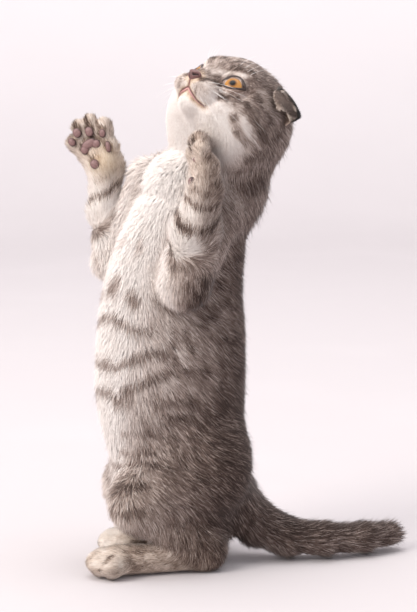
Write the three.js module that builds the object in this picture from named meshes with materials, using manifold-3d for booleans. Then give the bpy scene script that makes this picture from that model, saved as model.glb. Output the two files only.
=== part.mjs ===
// A folded-ear kitten, about nine weeks old and life-size, standing upright on its hind feet with its
// forepaws raised, its head turned up to its left and its tail laid on the ground behind it.
// Millimetres. +X is the kitten's left, -Y the way its hind feet point, +Z up, and the ground is z = 0.
// The flesh is described as a field that is negative inside the coat and positive outside it. Each piece
// is that field's surface, walked out on a grid, cut square at the joints and kept clear of its neighbours.
import * as THREE from "three";
import { mergeVertices } from "three/addons/utils/BufferGeometryUtils.js";
import Module from "manifold-3d";

const wasm = await Module();
wasm.setup();

const gap = 0.3; // clearance between neighbouring pieces
const seat = 1; // clearance between the body and the root of a limb or of the tail
const point = (x, y, z) => new THREE.Vector3(x, y, z);
const degrees = THREE.MathUtils.degToRad;

// Driving dimensions: the heights, reaches and radii of the kitten, coat included.
const torsoStations = [
  // height, middle across and back, half depth, half width, turn to the left in degrees
  { z: 21, x: 2, y: 6, deep: 25, wide: 22, turn: 0 },
  { z: 40, x: 1, y: 1, deep: 34, wide: 30, turn: 0 },
  { z: 62, x: -1, y: -2, deep: 37, wide: 33, turn: 0 },
  { z: 90, x: -1.4, y: -4, deep: 41, wide: 37, turn: 4 },
  { z: 120, x: -1.4, y: -3.7, deep: 41.5, wide: 37, turn: 8 },
  { z: 150, x: -1, y: -2.5, deep: 40, wide: 33, turn: 13 },
  { z: 180, x: 1, y: 3.5, deep: 37.5, wide: 29, turn: 19 },
  { z: 202, x: 5, y: 11, deep: 33, wide: 29, turn: 22 },
];
const torsoCaps = { low: 15, high: 26 }; // how far the ends round over past the last stations

const head = { middle: point(19, 22.9, 246.1), turn: 28.7, raise: 39.2, tilt: 14.5 };
const neck = { low: point(9, 19, 205), high: point(17, 29, 232), lowRadius: 25.5, highRadius: 24.5 };

const arms = {
  left: {
    shoulder: point(24, 8, 190), elbow: point(37, -9, 157), middle: point(44, -6.3, 183),
    wrist: point(49.5, -3, 204), tip: point(43, -0.6, 232), palm: point(-0.147, -0.989, 0),
    radii: { shoulder: 17, elbow: 13.5, middle: 13.8, wrist: 9.4 }, curl: 3.5, lateral: 1,
  },
  right: {
    shoulder: point(-17.3, -6.7, 205), elbow: point(-22.3, -29.5, 163), middle: point(-28.3, -32.5, 187),
    wrist: point(-30.3, -30.4, 211), tip: point(-40.2, -45.2, 247), palm: point(0.882, -0.47, 0),
    radii: { shoulder: 15, elbow: 11.5, middle: 9.2, wrist: 10 }, curl: 1, lateral: -1,
  },
};
const forepaw = {
  palm: { out: 9.5, across: 11.4, thick: 8.6, long: 11.4 },
  toes: [
    // across from the middle, reach beyond the wrist
    { across: -9.4, reach: 20.5 },
    { across: -3.3, reach: 25.5 },
    { across: 3.3, reach: 25.5 },
    { across: 9.4, reach: 19.5 },
  ],
  toeRadius: 5.2,
  dewclaw: { across: -10.5, out: 8, radius: 3.6 },
  pads: { palmAcross: 2, palmOut: 12, carpalAcross: 6, carpalOut: 0.5 },
};

const legs = {
  left: {
    hip: point(20, 6, 56), knee: point(23.5, -30, 38), hock: point(26.5, 7, 10),
    heel: point(25, 6, 7.2), ball: point(22, -41, 8.4), tip: point(20.5, -58, 7), lateral: 1,
  },
  right: {
    hip: point(-20, 6, 56), knee: point(-23, -18, 38), hock: point(-26.5, 27, 10),
    heel: point(-25.5, 26, 7.2), ball: point(-22.5, -21, 8.4), tip: point(-21.5, -38, 7), lateral: -1,
  },
};
const legRadii = { hip: 24, knee: 15, hock: 9.5, heel: 7.6, ball: 9.2 };
const hindToes = [
  // across from the middle, shortfall behind the longest toe
  { across: -8.6, short: 3.6 },
  { across: -3, short: 0 },
  { across: 3, short: 0.4 },
  { across: 8.6, short: 4.6 },
];
const hindToeRadius = 7.2;

const tailLine = [
  { at: point(3, 26, 36), radius: 16.5 },
  { at: point(7, 40, 21), radius: 13.5 },
  { at: point(14, 56, 12.4), radius: 11.8 },
  { at: point(20, 74, 10.2), radius: 10.8 },
  { at: point(21, 96, 9.2), radius: 9.8 },
  { at: point(16, 113.5, 8.6), radius: 8.4 },
];

const eye = { ahead: 14.8, side: 12.8, up: 1.5, radius: 7.6, lid: 1.5 };
const eyeGaze = { ahead: 0.9, side: 0.4, up: 0.17 };
const eyeOpening = { wide: 13.6, tall: 9.6, slant: 16 };

// The head's own axes: ahead along the nose, side to the kitten's left, up through the crown.
const headTurn = new THREE.Matrix4().makeRotationFromEuler(
  new THREE.Euler(degrees(-head.raise), degrees(head.tilt), degrees(head.turn), "ZXY"),
);
const headAhead = point(0, -1, 0).applyMatrix4(headTurn);
const headSide = point(1, 0, 0).applyMatrix4(headTurn);
const headUp = point(0, 0, 1).applyMatrix4(headTurn);
const onHead = (ahead, side, up) =>
  head.middle.clone()
    .addScaledVector(headAhead, ahead)
    .addScaledVector(headSide, side)
    .addScaledVector(headUp, up);

// Fields. Each is a function of a point, with the box that holds its surface.
const field = (at, box) => Object.assign(at, { box });
const boxAround = (reach, ...points) => new THREE.Box3().setFromPoints(points).expandByScalar(reach);

// A rounded bar from a to b whose radius goes evenly from ra to rb.
function bar(a, b, ra, rb = ra) {
  const along = b.clone().sub(a);
  const square = along.lengthSq();
  const at = (p) => {
    const x = p.x - a.x;
    const y = p.y - a.y;
    const z = p.z - a.z;
    const t = Math.min(1, Math.max(0, (x * along.x + y * along.y + z * along.z) / square));
    return Math.hypot(x - t * along.x, y - t * along.y, z - t * along.z) - (ra + t * (rb - ra));
  };
  return field(at, boxAround(Math.max(ra, rb), a, b));
}

const ball = (middle, radius) =>
  field((p) => p.distanceTo(middle) - radius, boxAround(radius, middle));

// An egg whose half lengths lie along three axes of its own.
function egg(middle, axes, halves) {
  const at = (p) => {
    let inner = 0;
    let slope = 0;
    for (let i = 0; i < 3; i++) {
      const along =
        (p.x - middle.x) * axes[i].x + (p.y - middle.y) * axes[i].y + (p.z - middle.z) * axes[i].z;
      inner += (along / halves[i]) ** 2;
      slope += (along / halves[i] ** 2) ** 2;
    }
    const reach = Math.sqrt(inner);
    return reach === 0 ? -Math.min(...halves) : (reach * (reach - 1)) / Math.sqrt(slope);
  };
  return field(at, boxAround(Math.max(...halves), middle));
}

// Several fields run together, with a fillet of about `soft` where they meet.
function blend(soft, ...fields) {
  const at = (p) => {
    let depth = fields[0](p);
    for (let i = 1; i < fields.length; i++) {
      const other = fields[i](p);
      const share = Math.max(soft - Math.abs(depth - other), 0) / soft;
      depth = Math.min(depth, other) - (share * share * soft) / 4;
    }
    return depth;
  };
  return field(at, fields.reduce((box, f) => box.union(f.box), new THREE.Box3()));
}

// A cubic through the stations, which levels out at the ends.
function alongStations(stations, z, name) {
  const last = stations.length - 1;
  let i = 0;
  while (i < last - 1 && z > stations[i + 1].z) i++;
  const picked = [Math.max(i - 1, 0), i, i + 1, Math.min(i + 2, last)];
  const [before, from, to, after] = picked.map((k) => stations[k]);
  const step = to.z - from.z;
  const t = Math.min(1, Math.max(0, (z - from.z) / step));
  const leave = ((to[name] - before[name]) / (to.z - before.z)) * step;
  const arrive = ((after[name] - from[name]) / (after.z - from.z)) * step;
  return (
    from[name] * (1 + 2 * t) * (1 - t) ** 2 + leave * t * (1 - t) ** 2 +
    to[name] * t * t * (3 - 2 * t) + arrive * t * t * (t - 1)
  );
}

// The torso: ovals carried up the stations, rounded over at both ends.
function torsoField() {
  const lowest = torsoStations[0].z;
  const highest = torsoStations.at(-1).z;
  const at = (p) => {
    const z = Math.min(highest, Math.max(lowest, p.z));
    const names = ["x", "y", "deep", "wide", "turn"];
    const [x, y, deep, wide, turn] = names.map((name) => alongStations(torsoStations, z, name));
    const c = Math.cos(degrees(turn));
    const s = Math.sin(degrees(turn));
    const across = (p.x - x) * c + (p.y - y) * s;
    const back = (p.y - y) * c - (p.x - x) * s;
    const past = (p.z - z) / (p.z > z ? torsoCaps.high : torsoCaps.low);
    return (Math.hypot(across / wide, back / deep, past) - 1) * Math.min(deep, wide);
  };
  const low = point(-46, -52, lowest - torsoCaps.low);
  return field(at, new THREE.Box3(low, point(50, 52, highest + torsoCaps.high)));
}

// The head, in its own axes: skull, brows, cheeks, muzzle with its whisker pads, chin and jaw.
function headField() {
  const axes = [headAhead, headSide, headUp];
  const pair = (make) => [make(1), make(-1)];
  const skull = egg(onHead(-5, 0, 2), axes, [30, 26.5, 25]);
  const brows = pair((s) => ball(onHead(14, s * 11, 7.6), 6.8));
  const cheeks = pair((s) => ball(onHead(2, s * 16, -9), 15.5));
  const muzzle = egg(onHead(18, 0, -7), axes, [13.5, 12.5, 10]);
  const pads = pair((s) => egg(onHead(25, s * 7.4, -8.8), axes, [7.6, 7.4, 6.5]));
  const jowls = pair((s) => ball(onHead(12, s * 13, -12.5), 9.5));
  const ruff = pair((s) => ball(onHead(-1, s * 17, -19), 12.5));
  const chin = ball(onHead(23.6, 0, -16), 6);
  const bridge = bar(onHead(13, 0, 8), onHead(29.2, 0, -5), 7, 4.2);
  const jaw = bar(onHead(3, 0, -15), onHead(19, 0, -15), 13, 8);
  const skin = blend(9, skull, jaw, ...cheeks, ...jowls, ...ruff, ...brows);
  return blend(3, blend(6, skin, muzzle, bridge), ...pads, chin);
}

// A paw in its own axes: across to the outer toe, palm down, and out along the toes.
function pawAxes(wrist, tip, palm, lateral) {
  const out = tip.clone().sub(wrist).normalize();
  const down = palm.clone().addScaledVector(out, -palm.dot(out)).normalize();
  const across = out.clone().cross(down).multiplyScalar(lateral);
  const place = (a, d, o) =>
    wrist.clone().addScaledVector(across, a).addScaledVector(down, d).addScaledVector(out, o);
  return { across, down, out, place };
}

function forepawField({ wrist, tip, palm, lateral, curl, radii }) {
  const { across, down, out, place } = pawAxes(wrist, tip, palm, lateral);
  const size = forepaw.palm;
  const body = egg(place(0, 0, size.out), [across, down, out], [size.across, size.thick, size.long]);
  const toes = forepaw.toes.map((toe) =>
    bar(
      place(toe.across * 0.62, 0, 9), place(toe.across, curl, toe.reach),
      forepaw.toeRadius * 0.94, forepaw.toeRadius,
    ));
  const thumb = forepaw.dewclaw;
  const dewclaw = ball(place(thumb.across * 0.86, 3.5, thumb.out), thumb.radius);
  const pad = forepaw.pads;
  const pads = [
    egg(place(pad.palmAcross, size.thick - 2.2, pad.palmOut), [across, down, out], [7, 3.4, 4.6]),
    ball(place(pad.carpalAcross, size.thick - 2.6, pad.carpalOut), 3.3),
    ...forepaw.toes.map((toe) => ball(place(toe.across, curl + 3.3, toe.reach - 3), 2.9)),
  ];
  const flesh = blend(5, ball(wrist, radii.wrist), body, dewclaw);
  return blend(1.2, blend(2, flesh, ...toes), ...pads);
}

function armField(arm) {
  const { shoulder, elbow, middle, wrist, radii } = arm;
  const upper = bar(shoulder, elbow, radii.shoulder, radii.elbow);
  const lower = bar(elbow, middle, radii.elbow, radii.middle);
  const fore = bar(middle, wrist, radii.middle, radii.wrist);
  return blend(4, upper, lower, fore, forepawField(arm));
}

function legField({ hip, knee, hock, heel, ball: pad, tip, lateral }) {
  const out = tip.clone().sub(heel).setZ(0).normalize();
  const across = point(-out.y * lateral, out.x * lateral, 0);
  const thigh = bar(hip, knee, legRadii.hip, legRadii.knee);
  const shank = bar(knee, hock, legRadii.knee, legRadii.hock);
  const foot = bar(heel, pad, legRadii.heel, legRadii.ball);
  const toes = hindToes.map((toe) =>
    bar(
      pad.clone().addScaledVector(across, toe.across * 0.55),
      tip.clone().addScaledVector(across, toe.across).addScaledVector(out, -toe.short - hindToeRadius),
      hindToeRadius, hindToeRadius,
    ));
  return blend(2.2, blend(7, thigh, shank, foot), ...toes);
}

const limbs = {
  arms: { left: armField(arms.left), right: armField(arms.right) },
  legs: { left: legField(legs.left), right: legField(legs.right) },
};
const tailBars = tailLine.slice(1).map((to, i) => bar(tailLine[i].at, to.at, tailLine[i].radius, to.radius));
const tailField = blend(3, ...tailBars);
const neckField = bar(neck.low, neck.high, neck.lowRadius, neck.highRadius);
const bodyField = blend(12, torsoField(), neckField, headField());
const branches = [...Object.values(limbs.arms), ...Object.values(limbs.legs), tailField];
const { left: leftLeg, right: rightLeg } = limbs.legs;
const wholeField = blend(9, blend(20, bodyField, leftLeg, rightLeg), ...Object.values(limbs.arms), tailField);

// Walks a field's surface on a grid: one vertex in each cell that the surface crosses, one pair of
// triangles across each grid edge that changes sign, then a few rounds of evening out and settling.
function surfaceOf(at, box, step) {
  const low = box.min.clone().subScalar(step * 1.5);
  const count = box.max.clone().addScalar(step * 1.5).sub(low).divideScalar(step).ceil().addScalar(1);
  const [nx, ny, nz] = count.toArray();
  const p = point(0, 0, 0);
  const depths = new Float64Array(nx * ny * nz);
  for (let k = 0, n = 0; k < nz; k++)
    for (let j = 0; j < ny; j++)
      for (let i = 0; i < nx; i++, n++) depths[n] = at(p.set(i, j, k).multiplyScalar(step).add(low));

  const strides = [1, nx, nx * ny];
  partSheets(depths, strides);
  const corners = [0, 1, 2, 3, 4, 5, 6, 7].map((c) => [c & 1, (c >> 1) & 1, c >> 2]);
  const edges = corners.flatMap((c, i) => [0, 1, 2].filter((a) => !c[a]).map((a) => [i, i | (1 << a)]));
  const offset = (c) => c[0] * strides[0] + c[1] * strides[1] + c[2] * strides[2];
  const cellVertex = new Int32Array(depths.length).fill(-1);
  const vertices = [];
  for (let k = 0; k < nz - 1; k++)
    for (let j = 0; j < ny - 1; j++)
      for (let i = 0; i < nx - 1; i++) {
        const cell = i + j * nx + k * nx * ny;
        const mean = point(0, 0, 0);
        let crossings = 0;
        for (const [from, to] of edges) {
          const a = depths[cell + offset(corners[from])];
          const b = depths[cell + offset(corners[to])];
          if (a < 0 === b < 0) continue;
          const t = a / (a - b);
          mean.x += corners[from][0] * (1 - t) + corners[to][0] * t;
          mean.y += corners[from][1] * (1 - t) + corners[to][1] * t;
          mean.z += corners[from][2] * (1 - t) + corners[to][2] * t;
          crossings++;
        }
        if (!crossings) continue;
        cellVertex[cell] = vertices.length;
        vertices.push(mean.divideScalar(crossings).add(p.set(i, j, k)).multiplyScalar(step).add(low));
      }

  const triangles = [];
  for (let n = 0; n < depths.length; n++)
    for (let axis = 0; axis < 3; axis++) {
      const next = n + strides[axis];
      if (next >= depths.length || depths[n] < 0 === depths[next] < 0) continue;
      const u = strides[(axis + 1) % 3];
      const v = strides[(axis + 2) % 3];
      const around = [n, n - u, n - u - v, n - v].map((cell) => cellVertex[cell]);
      const [a, b, c, d] = depths[n] < 0 ? around : around.reverse();
      const across = vertices[a].distanceToSquared(vertices[c]) < vertices[b].distanceToSquared(vertices[d]);
      triangles.push(...(across ? [a, b, c, a, c, d] : [a, b, d, b, c, d]));
    }
  settle(at, vertices, triangles, step);
  return solidFrom(vertices.flatMap((vertex) => vertex.toArray()), triangles);
}

// Where the corners of a grid face alternate between inside and outside, or two opposite corners of a cell
// stand alone, two sheets would share an edge or a vertex. The shallowest inner corner there is let go.
function partSheets(depths, [x, y, z]) {
  const faces = [[x, y], [y, z], [z, x]];
  const opposites = [[0, x + y + z], [x, y + z], [y, x + z], [z, x + y]];
  const inside = (n) => depths[n] < 0;
  const release = (group) => {
    const inner = group.filter(inside);
    depths[inner.reduce((best, m) => (depths[m] > depths[best] ? m : best))] = 1e-6;
  };
  const last = depths.length - x - y - z;
  for (let releases = 1; releases; ) {
    releases = 0;
    for (let n = 0; n < last; n++) {
      const clashing = faces.map(([u, v]) => [n, n + u, n + u + v, n + v]).filter((face) => {
        const [a, b, c, d] = face.map(inside);
        return a === c && b === d && a !== b;
      });
      const cell = opposites.flat().map((m) => n + m);
      const total = cell.filter(inside).length;
      if (total === 2 || total === 6)
        for (const [a, b] of opposites)
          if (inside(n + a) === inside(n + b) && inside(n + a) === (total === 2)) clashing.push(cell);
      if (!clashing.length) continue;
      release(clashing[0]);
      releases++;
    }
  }
}

// Evens the mesh out, each vertex towards the middle of its neighbours, and sets it back on the surface.
function settle(at, vertices, triangles, step, rounds = 3) {
  const neighbours = vertices.map(() => new Set());
  triangles.forEach((v, i) => {
    const next = triangles[i % 3 === 2 ? i - 2 : i + 1];
    neighbours[v].add(next);
    neighbours[next].add(v);
  });
  const h = step * 0.05;
  const slope = point(0, 0, 0);
  const probe = point(0, 0, 0);
  for (let round = 0; round < rounds; round++) {
    const middles = neighbours.map((around) =>
      [...around].reduce((sum, n) => sum.add(vertices[n]), point(0, 0, 0)).divideScalar(around.size));
    vertices.forEach((vertex, i) => {
      vertex.lerp(middles[i], 0.5);
      const depth = at(vertex);
      for (const axis of ["x", "y", "z"]) {
        probe.copy(vertex)[axis] += h;
        slope[axis] = (at(probe) - depth) / h;
      }
      const pull = -depth / Math.max(slope.lengthSq(), 0.2);
      vertex.addScaledVector(slope, Math.min(step / 2, Math.max(-step / 2, pull)));
    });
  }
}

const solidFrom = (vertProperties, triVerts) =>
  new wasm.Manifold(new wasm.Mesh({
    numProp: 3, vertProperties: new Float32Array(vertProperties), triVerts: new Uint32Array(triVerts),
  }));

// A three.js geometry as a solid, placed by a matrix.
function solidOf(geometry, matrix = new THREE.Matrix4()) {
  const bare = geometry.clone().applyMatrix4(matrix);
  bare.deleteAttribute("normal");
  bare.deleteAttribute("uv");
  const merged = mergeVertices(bare, 1e-3);
  return solidFrom(merged.attributes.position.array, merged.index.array);
}

const largestOf = (solid) =>
  solid.decompose().reduce((best, part) => (part.volume() > best.volume() ? part : best));

// Cuts. A cut's normal points off the piece that it ends, and the piece beyond it takes the cut turned round.
const cut = (at, normal) => new THREE.Plane().setFromNormalAndCoplanarPoint(normal.clone().normalize(), at);
const turned = (plane) => plane.clone().negate();
const ground = new THREE.Plane(point(0, 0, -1), -gap / 2);

// One piece of the whole kitten between its cuts. It keeps the flesh that is deeper in its own field than
// in each of the others, so that a limb is seated in the body halfway through the fillet around its root.
function pieceOf(own, step, cuts) {
  const spare = step * 1.2;
  const others = [bodyField, ...branches].filter((other) => other !== own);
  const clipped = (p) => {
    const beyond = cuts.reduce((most, plane) => Math.max(most, plane.distanceToPoint(p) - spare), -Infinity);
    if (beyond > step * 2) return beyond;
    const inner = own(p);
    if (inner > step * 2 + 6) return inner;
    const depth = Math.max(beyond, wholeField(p));
    return others.reduce((most, other) => Math.max(most, (inner - other(p)) / 2 + seat / 2), depth);
  };
  let solid = surfaceOf(clipped, own.box.clone().expandByScalar(3), step);
  for (const { normal, constant } of cuts)
    solid = solid.trimByPlane(normal.clone().negate().toArray(), constant + gap / 2);
  return largestOf(solid);
}

// Where the body is parted.
const headCut = cut(point(14, 22, 219), point(0.08, 0.3, 0.95));
const neckCut = cut(point(6, 14, 204), point(0.05, 0.3, 0.95));
const chestCut = cut(point(0, 0, 146), point(0, 0.03, 1));
const bellyCut = cut(point(0, 0, 84), point(0, -0.03, 1));

// The head grown by the gap, for the ears to be cut clear of.
const grown = (p) => Math.max(bodyField(p) - gap, -headCut.distanceToPoint(p));
const headGrown = surfaceOf(grown, headField().box, 3.5);

// The eyes: each a ball in its socket, behind lids that leave an opening of two arcs.
function eyeSolids(side) {
  const middle = onHead(eye.ahead, side * eye.side, eye.up);
  const gaze = point(0, 0, 0).addScaledVector(headAhead, eyeGaze.ahead)
    .addScaledVector(headSide, side * eyeGaze.side).addScaledVector(headUp, eyeGaze.up).normalize();
  const level = headSide.clone().multiplyScalar(side);
  level.addScaledVector(gaze, -level.dot(gaze)).normalize();
  const across = level.clone().applyAxisAngle(gaze, degrees(eyeOpening.slant) * side);
  const above = gaze.clone().cross(across).multiplyScalar(side);
  const outward = gaze.clone().multiplyScalar(side);
  const frame = new THREE.Matrix4().makeBasis(across, above, outward).setPosition(middle);
  const globe = (radius, rings) => solidOf(new THREE.SphereGeometry(radius, rings * 2, rings), frame);

  const half = eyeOpening.wide / 2;
  const arc = new THREE.Shape();
  arc.moveTo(-half, 0);
  arc.quadraticCurveTo(-0.5, -eyeOpening.tall * 0.92, half, 0);
  arc.quadraticCurveTo(0.5, eyeOpening.tall * 1.08, -half, 0);
  const long = eye.radius * 2;
  const cutter = new THREE.ExtrudeGeometry(arc, { depth: long, bevelEnabled: false, curveSegments: 6 });
  if (side < 0) cutter.translate(0, 0, -long);
  return {
    ball: globe(eye.radius, 8),
    socket: globe(eye.radius + gap, 8),
    lids: globe(eye.radius + eye.lid, 9),
    opening: solidOf(cutter, frame),
  };
}

// A rounded groove or lip that follows points set on the head's surface.
function onSurface(at, from) {
  const p = from.clone();
  const slope = point(0, 0, 0);
  const h = 0.05;
  for (let i = 0; i < 8; i++) {
    const depth = at(p);
    for (let axis = 0; axis < 3; axis++)
      slope.setComponent(axis, (at(p.clone().setComponent(axis, p.getComponent(axis) + h)) - depth) / h);
    p.addScaledVector(slope, -depth / Math.max(slope.lengthSq(), 0.2));
  }
  return p;
}

function bead(points, radius, steps) {
  const line = new THREE.CatmullRomCurve3(points);
  const section = new THREE.Shape().absarc(0, 0, radius, 0, Math.PI * 2);
  return solidOf(new THREE.ExtrudeGeometry(section, { extrudePath: line, steps, curveSegments: 3 }));
}

const mouthLine = [
  // ahead, side, up in the head's axes, from the middle of the lip to its corner
  [32, 0, -12], [31, 2.5, -13.6], [28.6, 5.2, -14.4], [25, 8, -14.6], [21, 11.2, -14.2],
];
function mouthSolid(radius) {
  const half = mouthLine.map(([a, s, u]) => onSurface(bodyField, onHead(a, s, u)));
  const other = mouthLine.slice(1).map(([a, s, u]) => onSurface(bodyField, onHead(a, -s, u)));
  const lip = bead([...other.reverse(), ...half], radius, 18);
  const cleft = bead([onSurface(bodyField, onHead(33.8, 0, -8.4)), half[0]], radius * 0.8, 3);
  return lip.add(cleft);
}

// The nose leather: a rounded wedge above the cleft, with two nostrils.
const noseMiddle = onHead(31.8, 0, -5);
const headBasis = new THREE.Matrix4().makeBasis(headAhead, headSide, headUp);
function noseSolid(grow) {
  const shape = new THREE.SphereGeometry(1, 9, 7);
  shape.scale(3.6 + grow, 4.3 + grow, 3.2 + grow);
  const p = shape.attributes.position;
  for (let i = 0; i < p.count; i++) p.setY(i, p.getY(i) * (1 + 0.09 * p.getZ(i)));
  return solidOf(shape, headBasis.clone().setPosition(noseMiddle));
}
function nostril(side) {
  const hole = new THREE.SphereGeometry(1, 8, 6).scale(2.2, 0.85, 0.7);
  return solidOf(hole, headBasis.clone().setPosition(onHead(35, side * 2.3, -5.2)));
}

// An ear: a cup that stands out from the skull, then folds over towards the cheek above its own opening.
// Its profile runs up the back of the cup, round the fold and out to the tip, and its width closes to a
// rounded tip. Both faces share one grid, so that they are split alike.
const ear = {
  rows: 9, columns: 8, thick: 1.9, sunk: 4.5, rise: 4.6, foldRadius: 2.6, foldTurn: 108, flap: 10.8,
  halfWide: 8.8, cup: 5, root: { ahead: -8.6, side: 22.6, up: 11.7 },
};
function earProfile(v) {
  const rise = ear.sunk + ear.rise;
  const bend = ear.foldRadius * degrees(ear.foldTurn);
  const s = v * (rise + bend + ear.flap);
  const lean = Math.min(Math.max(0, s - rise), bend) / ear.foldRadius;
  const rest = Math.max(0, s - rise - bend);
  return {
    ahead: ear.foldRadius * (1 - Math.cos(lean)) + rest * Math.sin(lean),
    out: Math.min(s, rise) - ear.sunk + ear.foldRadius * Math.sin(lean) + rest * Math.cos(lean),
    lean,
  };
}
function earSolid(side) {
  const direction = (ahead, across, up) => point(0, 0, 0).addScaledVector(headAhead, ahead)
    .addScaledVector(headSide, side * across).addScaledVector(headUp, up).normalize();
  const root = onHead(ear.root.ahead, side * ear.root.side, ear.root.up);
  const lateral = direction(-0.85, 0.45, -0.25);
  const forward = direction(0.51, 0.71, -0.465);
  const outward = lateral.clone().cross(forward).multiplyScalar(-side).normalize();
  const middleOf = (u, v) => {
    const { ahead, out, lean } = earProfile(v);
    const closing = Math.max(0, (v - 0.5) / 0.52);
    const wide = ear.halfWide * Math.sqrt(Math.max(0, 1 - closing ** 2.4));
    const hook = ear.cup * (1 - 0.6 * v) * (1 - Math.cos(u * 1.35));
    return root.clone()
      .addScaledVector(lateral, (wide * Math.sin(u * 1.35)) / Math.sin(1.35))
      .addScaledVector(forward, ahead + hook * Math.cos(lean))
      .addScaledVector(outward, out - hook * Math.sin(lean));
  };
  const grid = [];
  const { rows, columns } = ear;
  for (let face = -1; face <= 1; face += 2)
    for (let r = 0; r <= rows; r++)
      for (let c = 0; c <= columns; c++) {
        const u = (c / columns) * 2 - 1;
        const v = r / rows;
        const e = 0.02;
        const du = middleOf(Math.min(u + e, 1), v).sub(middleOf(Math.max(u - e, -1), v));
        const dv = middleOf(u, Math.min(v + e, 1)).sub(middleOf(u, Math.max(v - e, 0)));
        const normal = du.cross(dv).normalize();
        grid.push(...middleOf(u, v).addScaledVector(normal, (face * ear.thick) / 2).toArray());
      }
  const wide = columns + 1;
  const sheet = wide * (rows + 1);
  const triangles = [];
  for (let r = 0; r < rows; r++)
    for (let c = 0; c < columns; c++) {
      const a = r * wide + c;
      const quad = [a, a + 1, a + wide + 1, a + wide];
      const [p, q, s, t] = quad;
      triangles.push(p + sheet, q + sheet, s + sheet, p + sheet, s + sheet, t + sheet);
      triangles.push(p, s, q, p, t, s);
    }
  const rim = [
    ...Array.from({ length: columns }, (_, c) => c),
    ...Array.from({ length: rows }, (_, r) => r * wide + columns),
    ...Array.from({ length: columns }, (_, c) => rows * wide + columns - c),
    ...Array.from({ length: rows }, (_, r) => (rows - r) * wide),
  ];
  rim.forEach((a, i) => {
    const b = rim[(i + 1) % rim.length];
    triangles.push(a, b, b + sheet, a, b + sheet, a + sheet);
  });
  const solid = solidFrom(grid, triangles);
  return solid.volume() < 0 ? solidFrom(grid, triangles.reverse()) : solid;
}

// Colours of the coat and bare skin.
const finish = (color, roughness = 0.85) =>
  new THREE.MeshStandardMaterial({ color, roughness, metalness: 0 });
const coat = finish("#8d8177");
const paleCoat = finish("#e6dfd8");
const darkCoat = finish("#5c514a");
const leather = finish("#8a5b58", 0.55);
const amber = finish("#b87a2c", 0.12);

const kitten = new THREE.Group();
function addPiece(name, solid, material) {
  const { vertProperties, numProp, numVert, triVerts } = solid.getMesh();
  const positions = new Float32Array(numVert * 3);
  for (let i = 0; i < numVert; i++)
    positions.set(vertProperties.subarray(i * numProp, i * numProp + 3), i * 3);
  const geometry = new THREE.BufferGeometry();
  geometry.setAttribute("position", new THREE.BufferAttribute(positions, 3));
  geometry.setIndex(new THREE.BufferAttribute(triVerts, 1));
  geometry.computeVertexNormals();
  const mesh = new THREE.Mesh(geometry, material);
  mesh.name = name;
  kitten.add(mesh);
  return mesh;
}

// Head, with its eyes, lids, mouth, nose and ears.
const eyes = { left: eyeSolids(1), right: eyeSolids(-1) };
let headSolid = pieceOf(bodyField, 3.7, [turned(headCut)]);
for (const { lids } of Object.values(eyes)) headSolid = headSolid.add(lids);
for (const { socket, opening } of Object.values(eyes)) headSolid = headSolid.subtract(socket.add(opening));
headSolid = largestOf(headSolid.subtract(noseSolid(gap)).subtract(mouthSolid(0.75)));
addPiece("head", headSolid, coat);
addPiece("nose", largestOf(noseSolid(0).subtract(nostril(1)).subtract(nostril(-1))), leather);
addPiece("eye_left", eyes.left.ball, amber);
addPiece("eye_right", eyes.right.ball, amber);
addPiece("ear_left", largestOf(earSolid(1).subtract(headGrown)), darkCoat);
addPiece("ear_right", largestOf(earSolid(-1).subtract(headGrown)), darkCoat);

// Neck and torso.
addPiece("neck", pieceOf(bodyField, 7.2, [headCut, turned(neckCut)]), paleCoat);
addPiece("chest", pieceOf(bodyField, 7.4, [neckCut, turned(chestCut)]), paleCoat);
addPiece("belly", pieceOf(bodyField, 8.8, [chestCut, turned(bellyCut)]), coat);
addPiece("hips", pieceOf(bodyField, 7.6, [bellyCut]), coat);

// A limb that folds back on itself is parted through the inside of the bend.
const bendCut = (at, toOne, toOther) =>
  cut(at, toOther.clone().sub(at).normalize().sub(toOne.clone().sub(at).normalize()));

for (const [name, arm] of Object.entries(arms)) {
  const own = limbs.arms[name];
  const elbowCut = bendCut(arm.elbow, arm.shoulder, arm.middle);
  const wristCut = cut(arm.wrist.clone().lerp(arm.middle, 0.3), arm.tip.clone().sub(arm.middle));
  addPiece(`upper_arm_${name}`, pieceOf(own, 6, [elbowCut]), coat);
  addPiece(`forearm_${name}`, pieceOf(own, 5.2, [turned(elbowCut), wristCut]), coat);
  addPiece(`forepaw_${name}`, pieceOf(own, 3, [turned(wristCut), turned(elbowCut)]), paleCoat);
}

for (const [name, leg] of Object.entries(legs)) {
  const own = limbs.legs[name];
  const kneeCut = bendCut(leg.knee, leg.hip, leg.hock);
  const hockCut = bendCut(leg.hock, leg.knee, leg.ball);
  addPiece(`thigh_${name}`, pieceOf(own, 6.8, [kneeCut]), coat);
  addPiece(`shank_${name}`, pieceOf(own, 5.8, [turned(kneeCut), hockCut]), coat);
  addPiece(`hindfoot_${name}`, pieceOf(own, 4.4, [turned(hockCut), ground]), coat);
}

const tailCuts = [3, 4].map((i) =>
  cut(tailLine[i].at.clone().lerp(tailLine[i - 1].at, 0.4), tailLine[i].at.clone().sub(tailLine[i - 1].at)));
addPiece("tail_base", pieceOf(tailField, 5.2, [tailCuts[0], ground]), darkCoat);
addPiece("tail_middle", pieceOf(tailField, 5, [turned(tailCuts[0]), tailCuts[1], ground]), darkCoat);
addPiece("tail_tip", pieceOf(tailField, 4.6, [turned(tailCuts[1]), ground]), darkCoat);

// The part's origin is the middle of its footprint, on the ground.
const extent = new THREE.Box3().setFromObject(kitten);
const middle = extent.getCenter(point(0, 0, 0));
kitten.position.set(-middle.x, -middle.y, -extent.min.z);

export default kitten;
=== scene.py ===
import math

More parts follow.
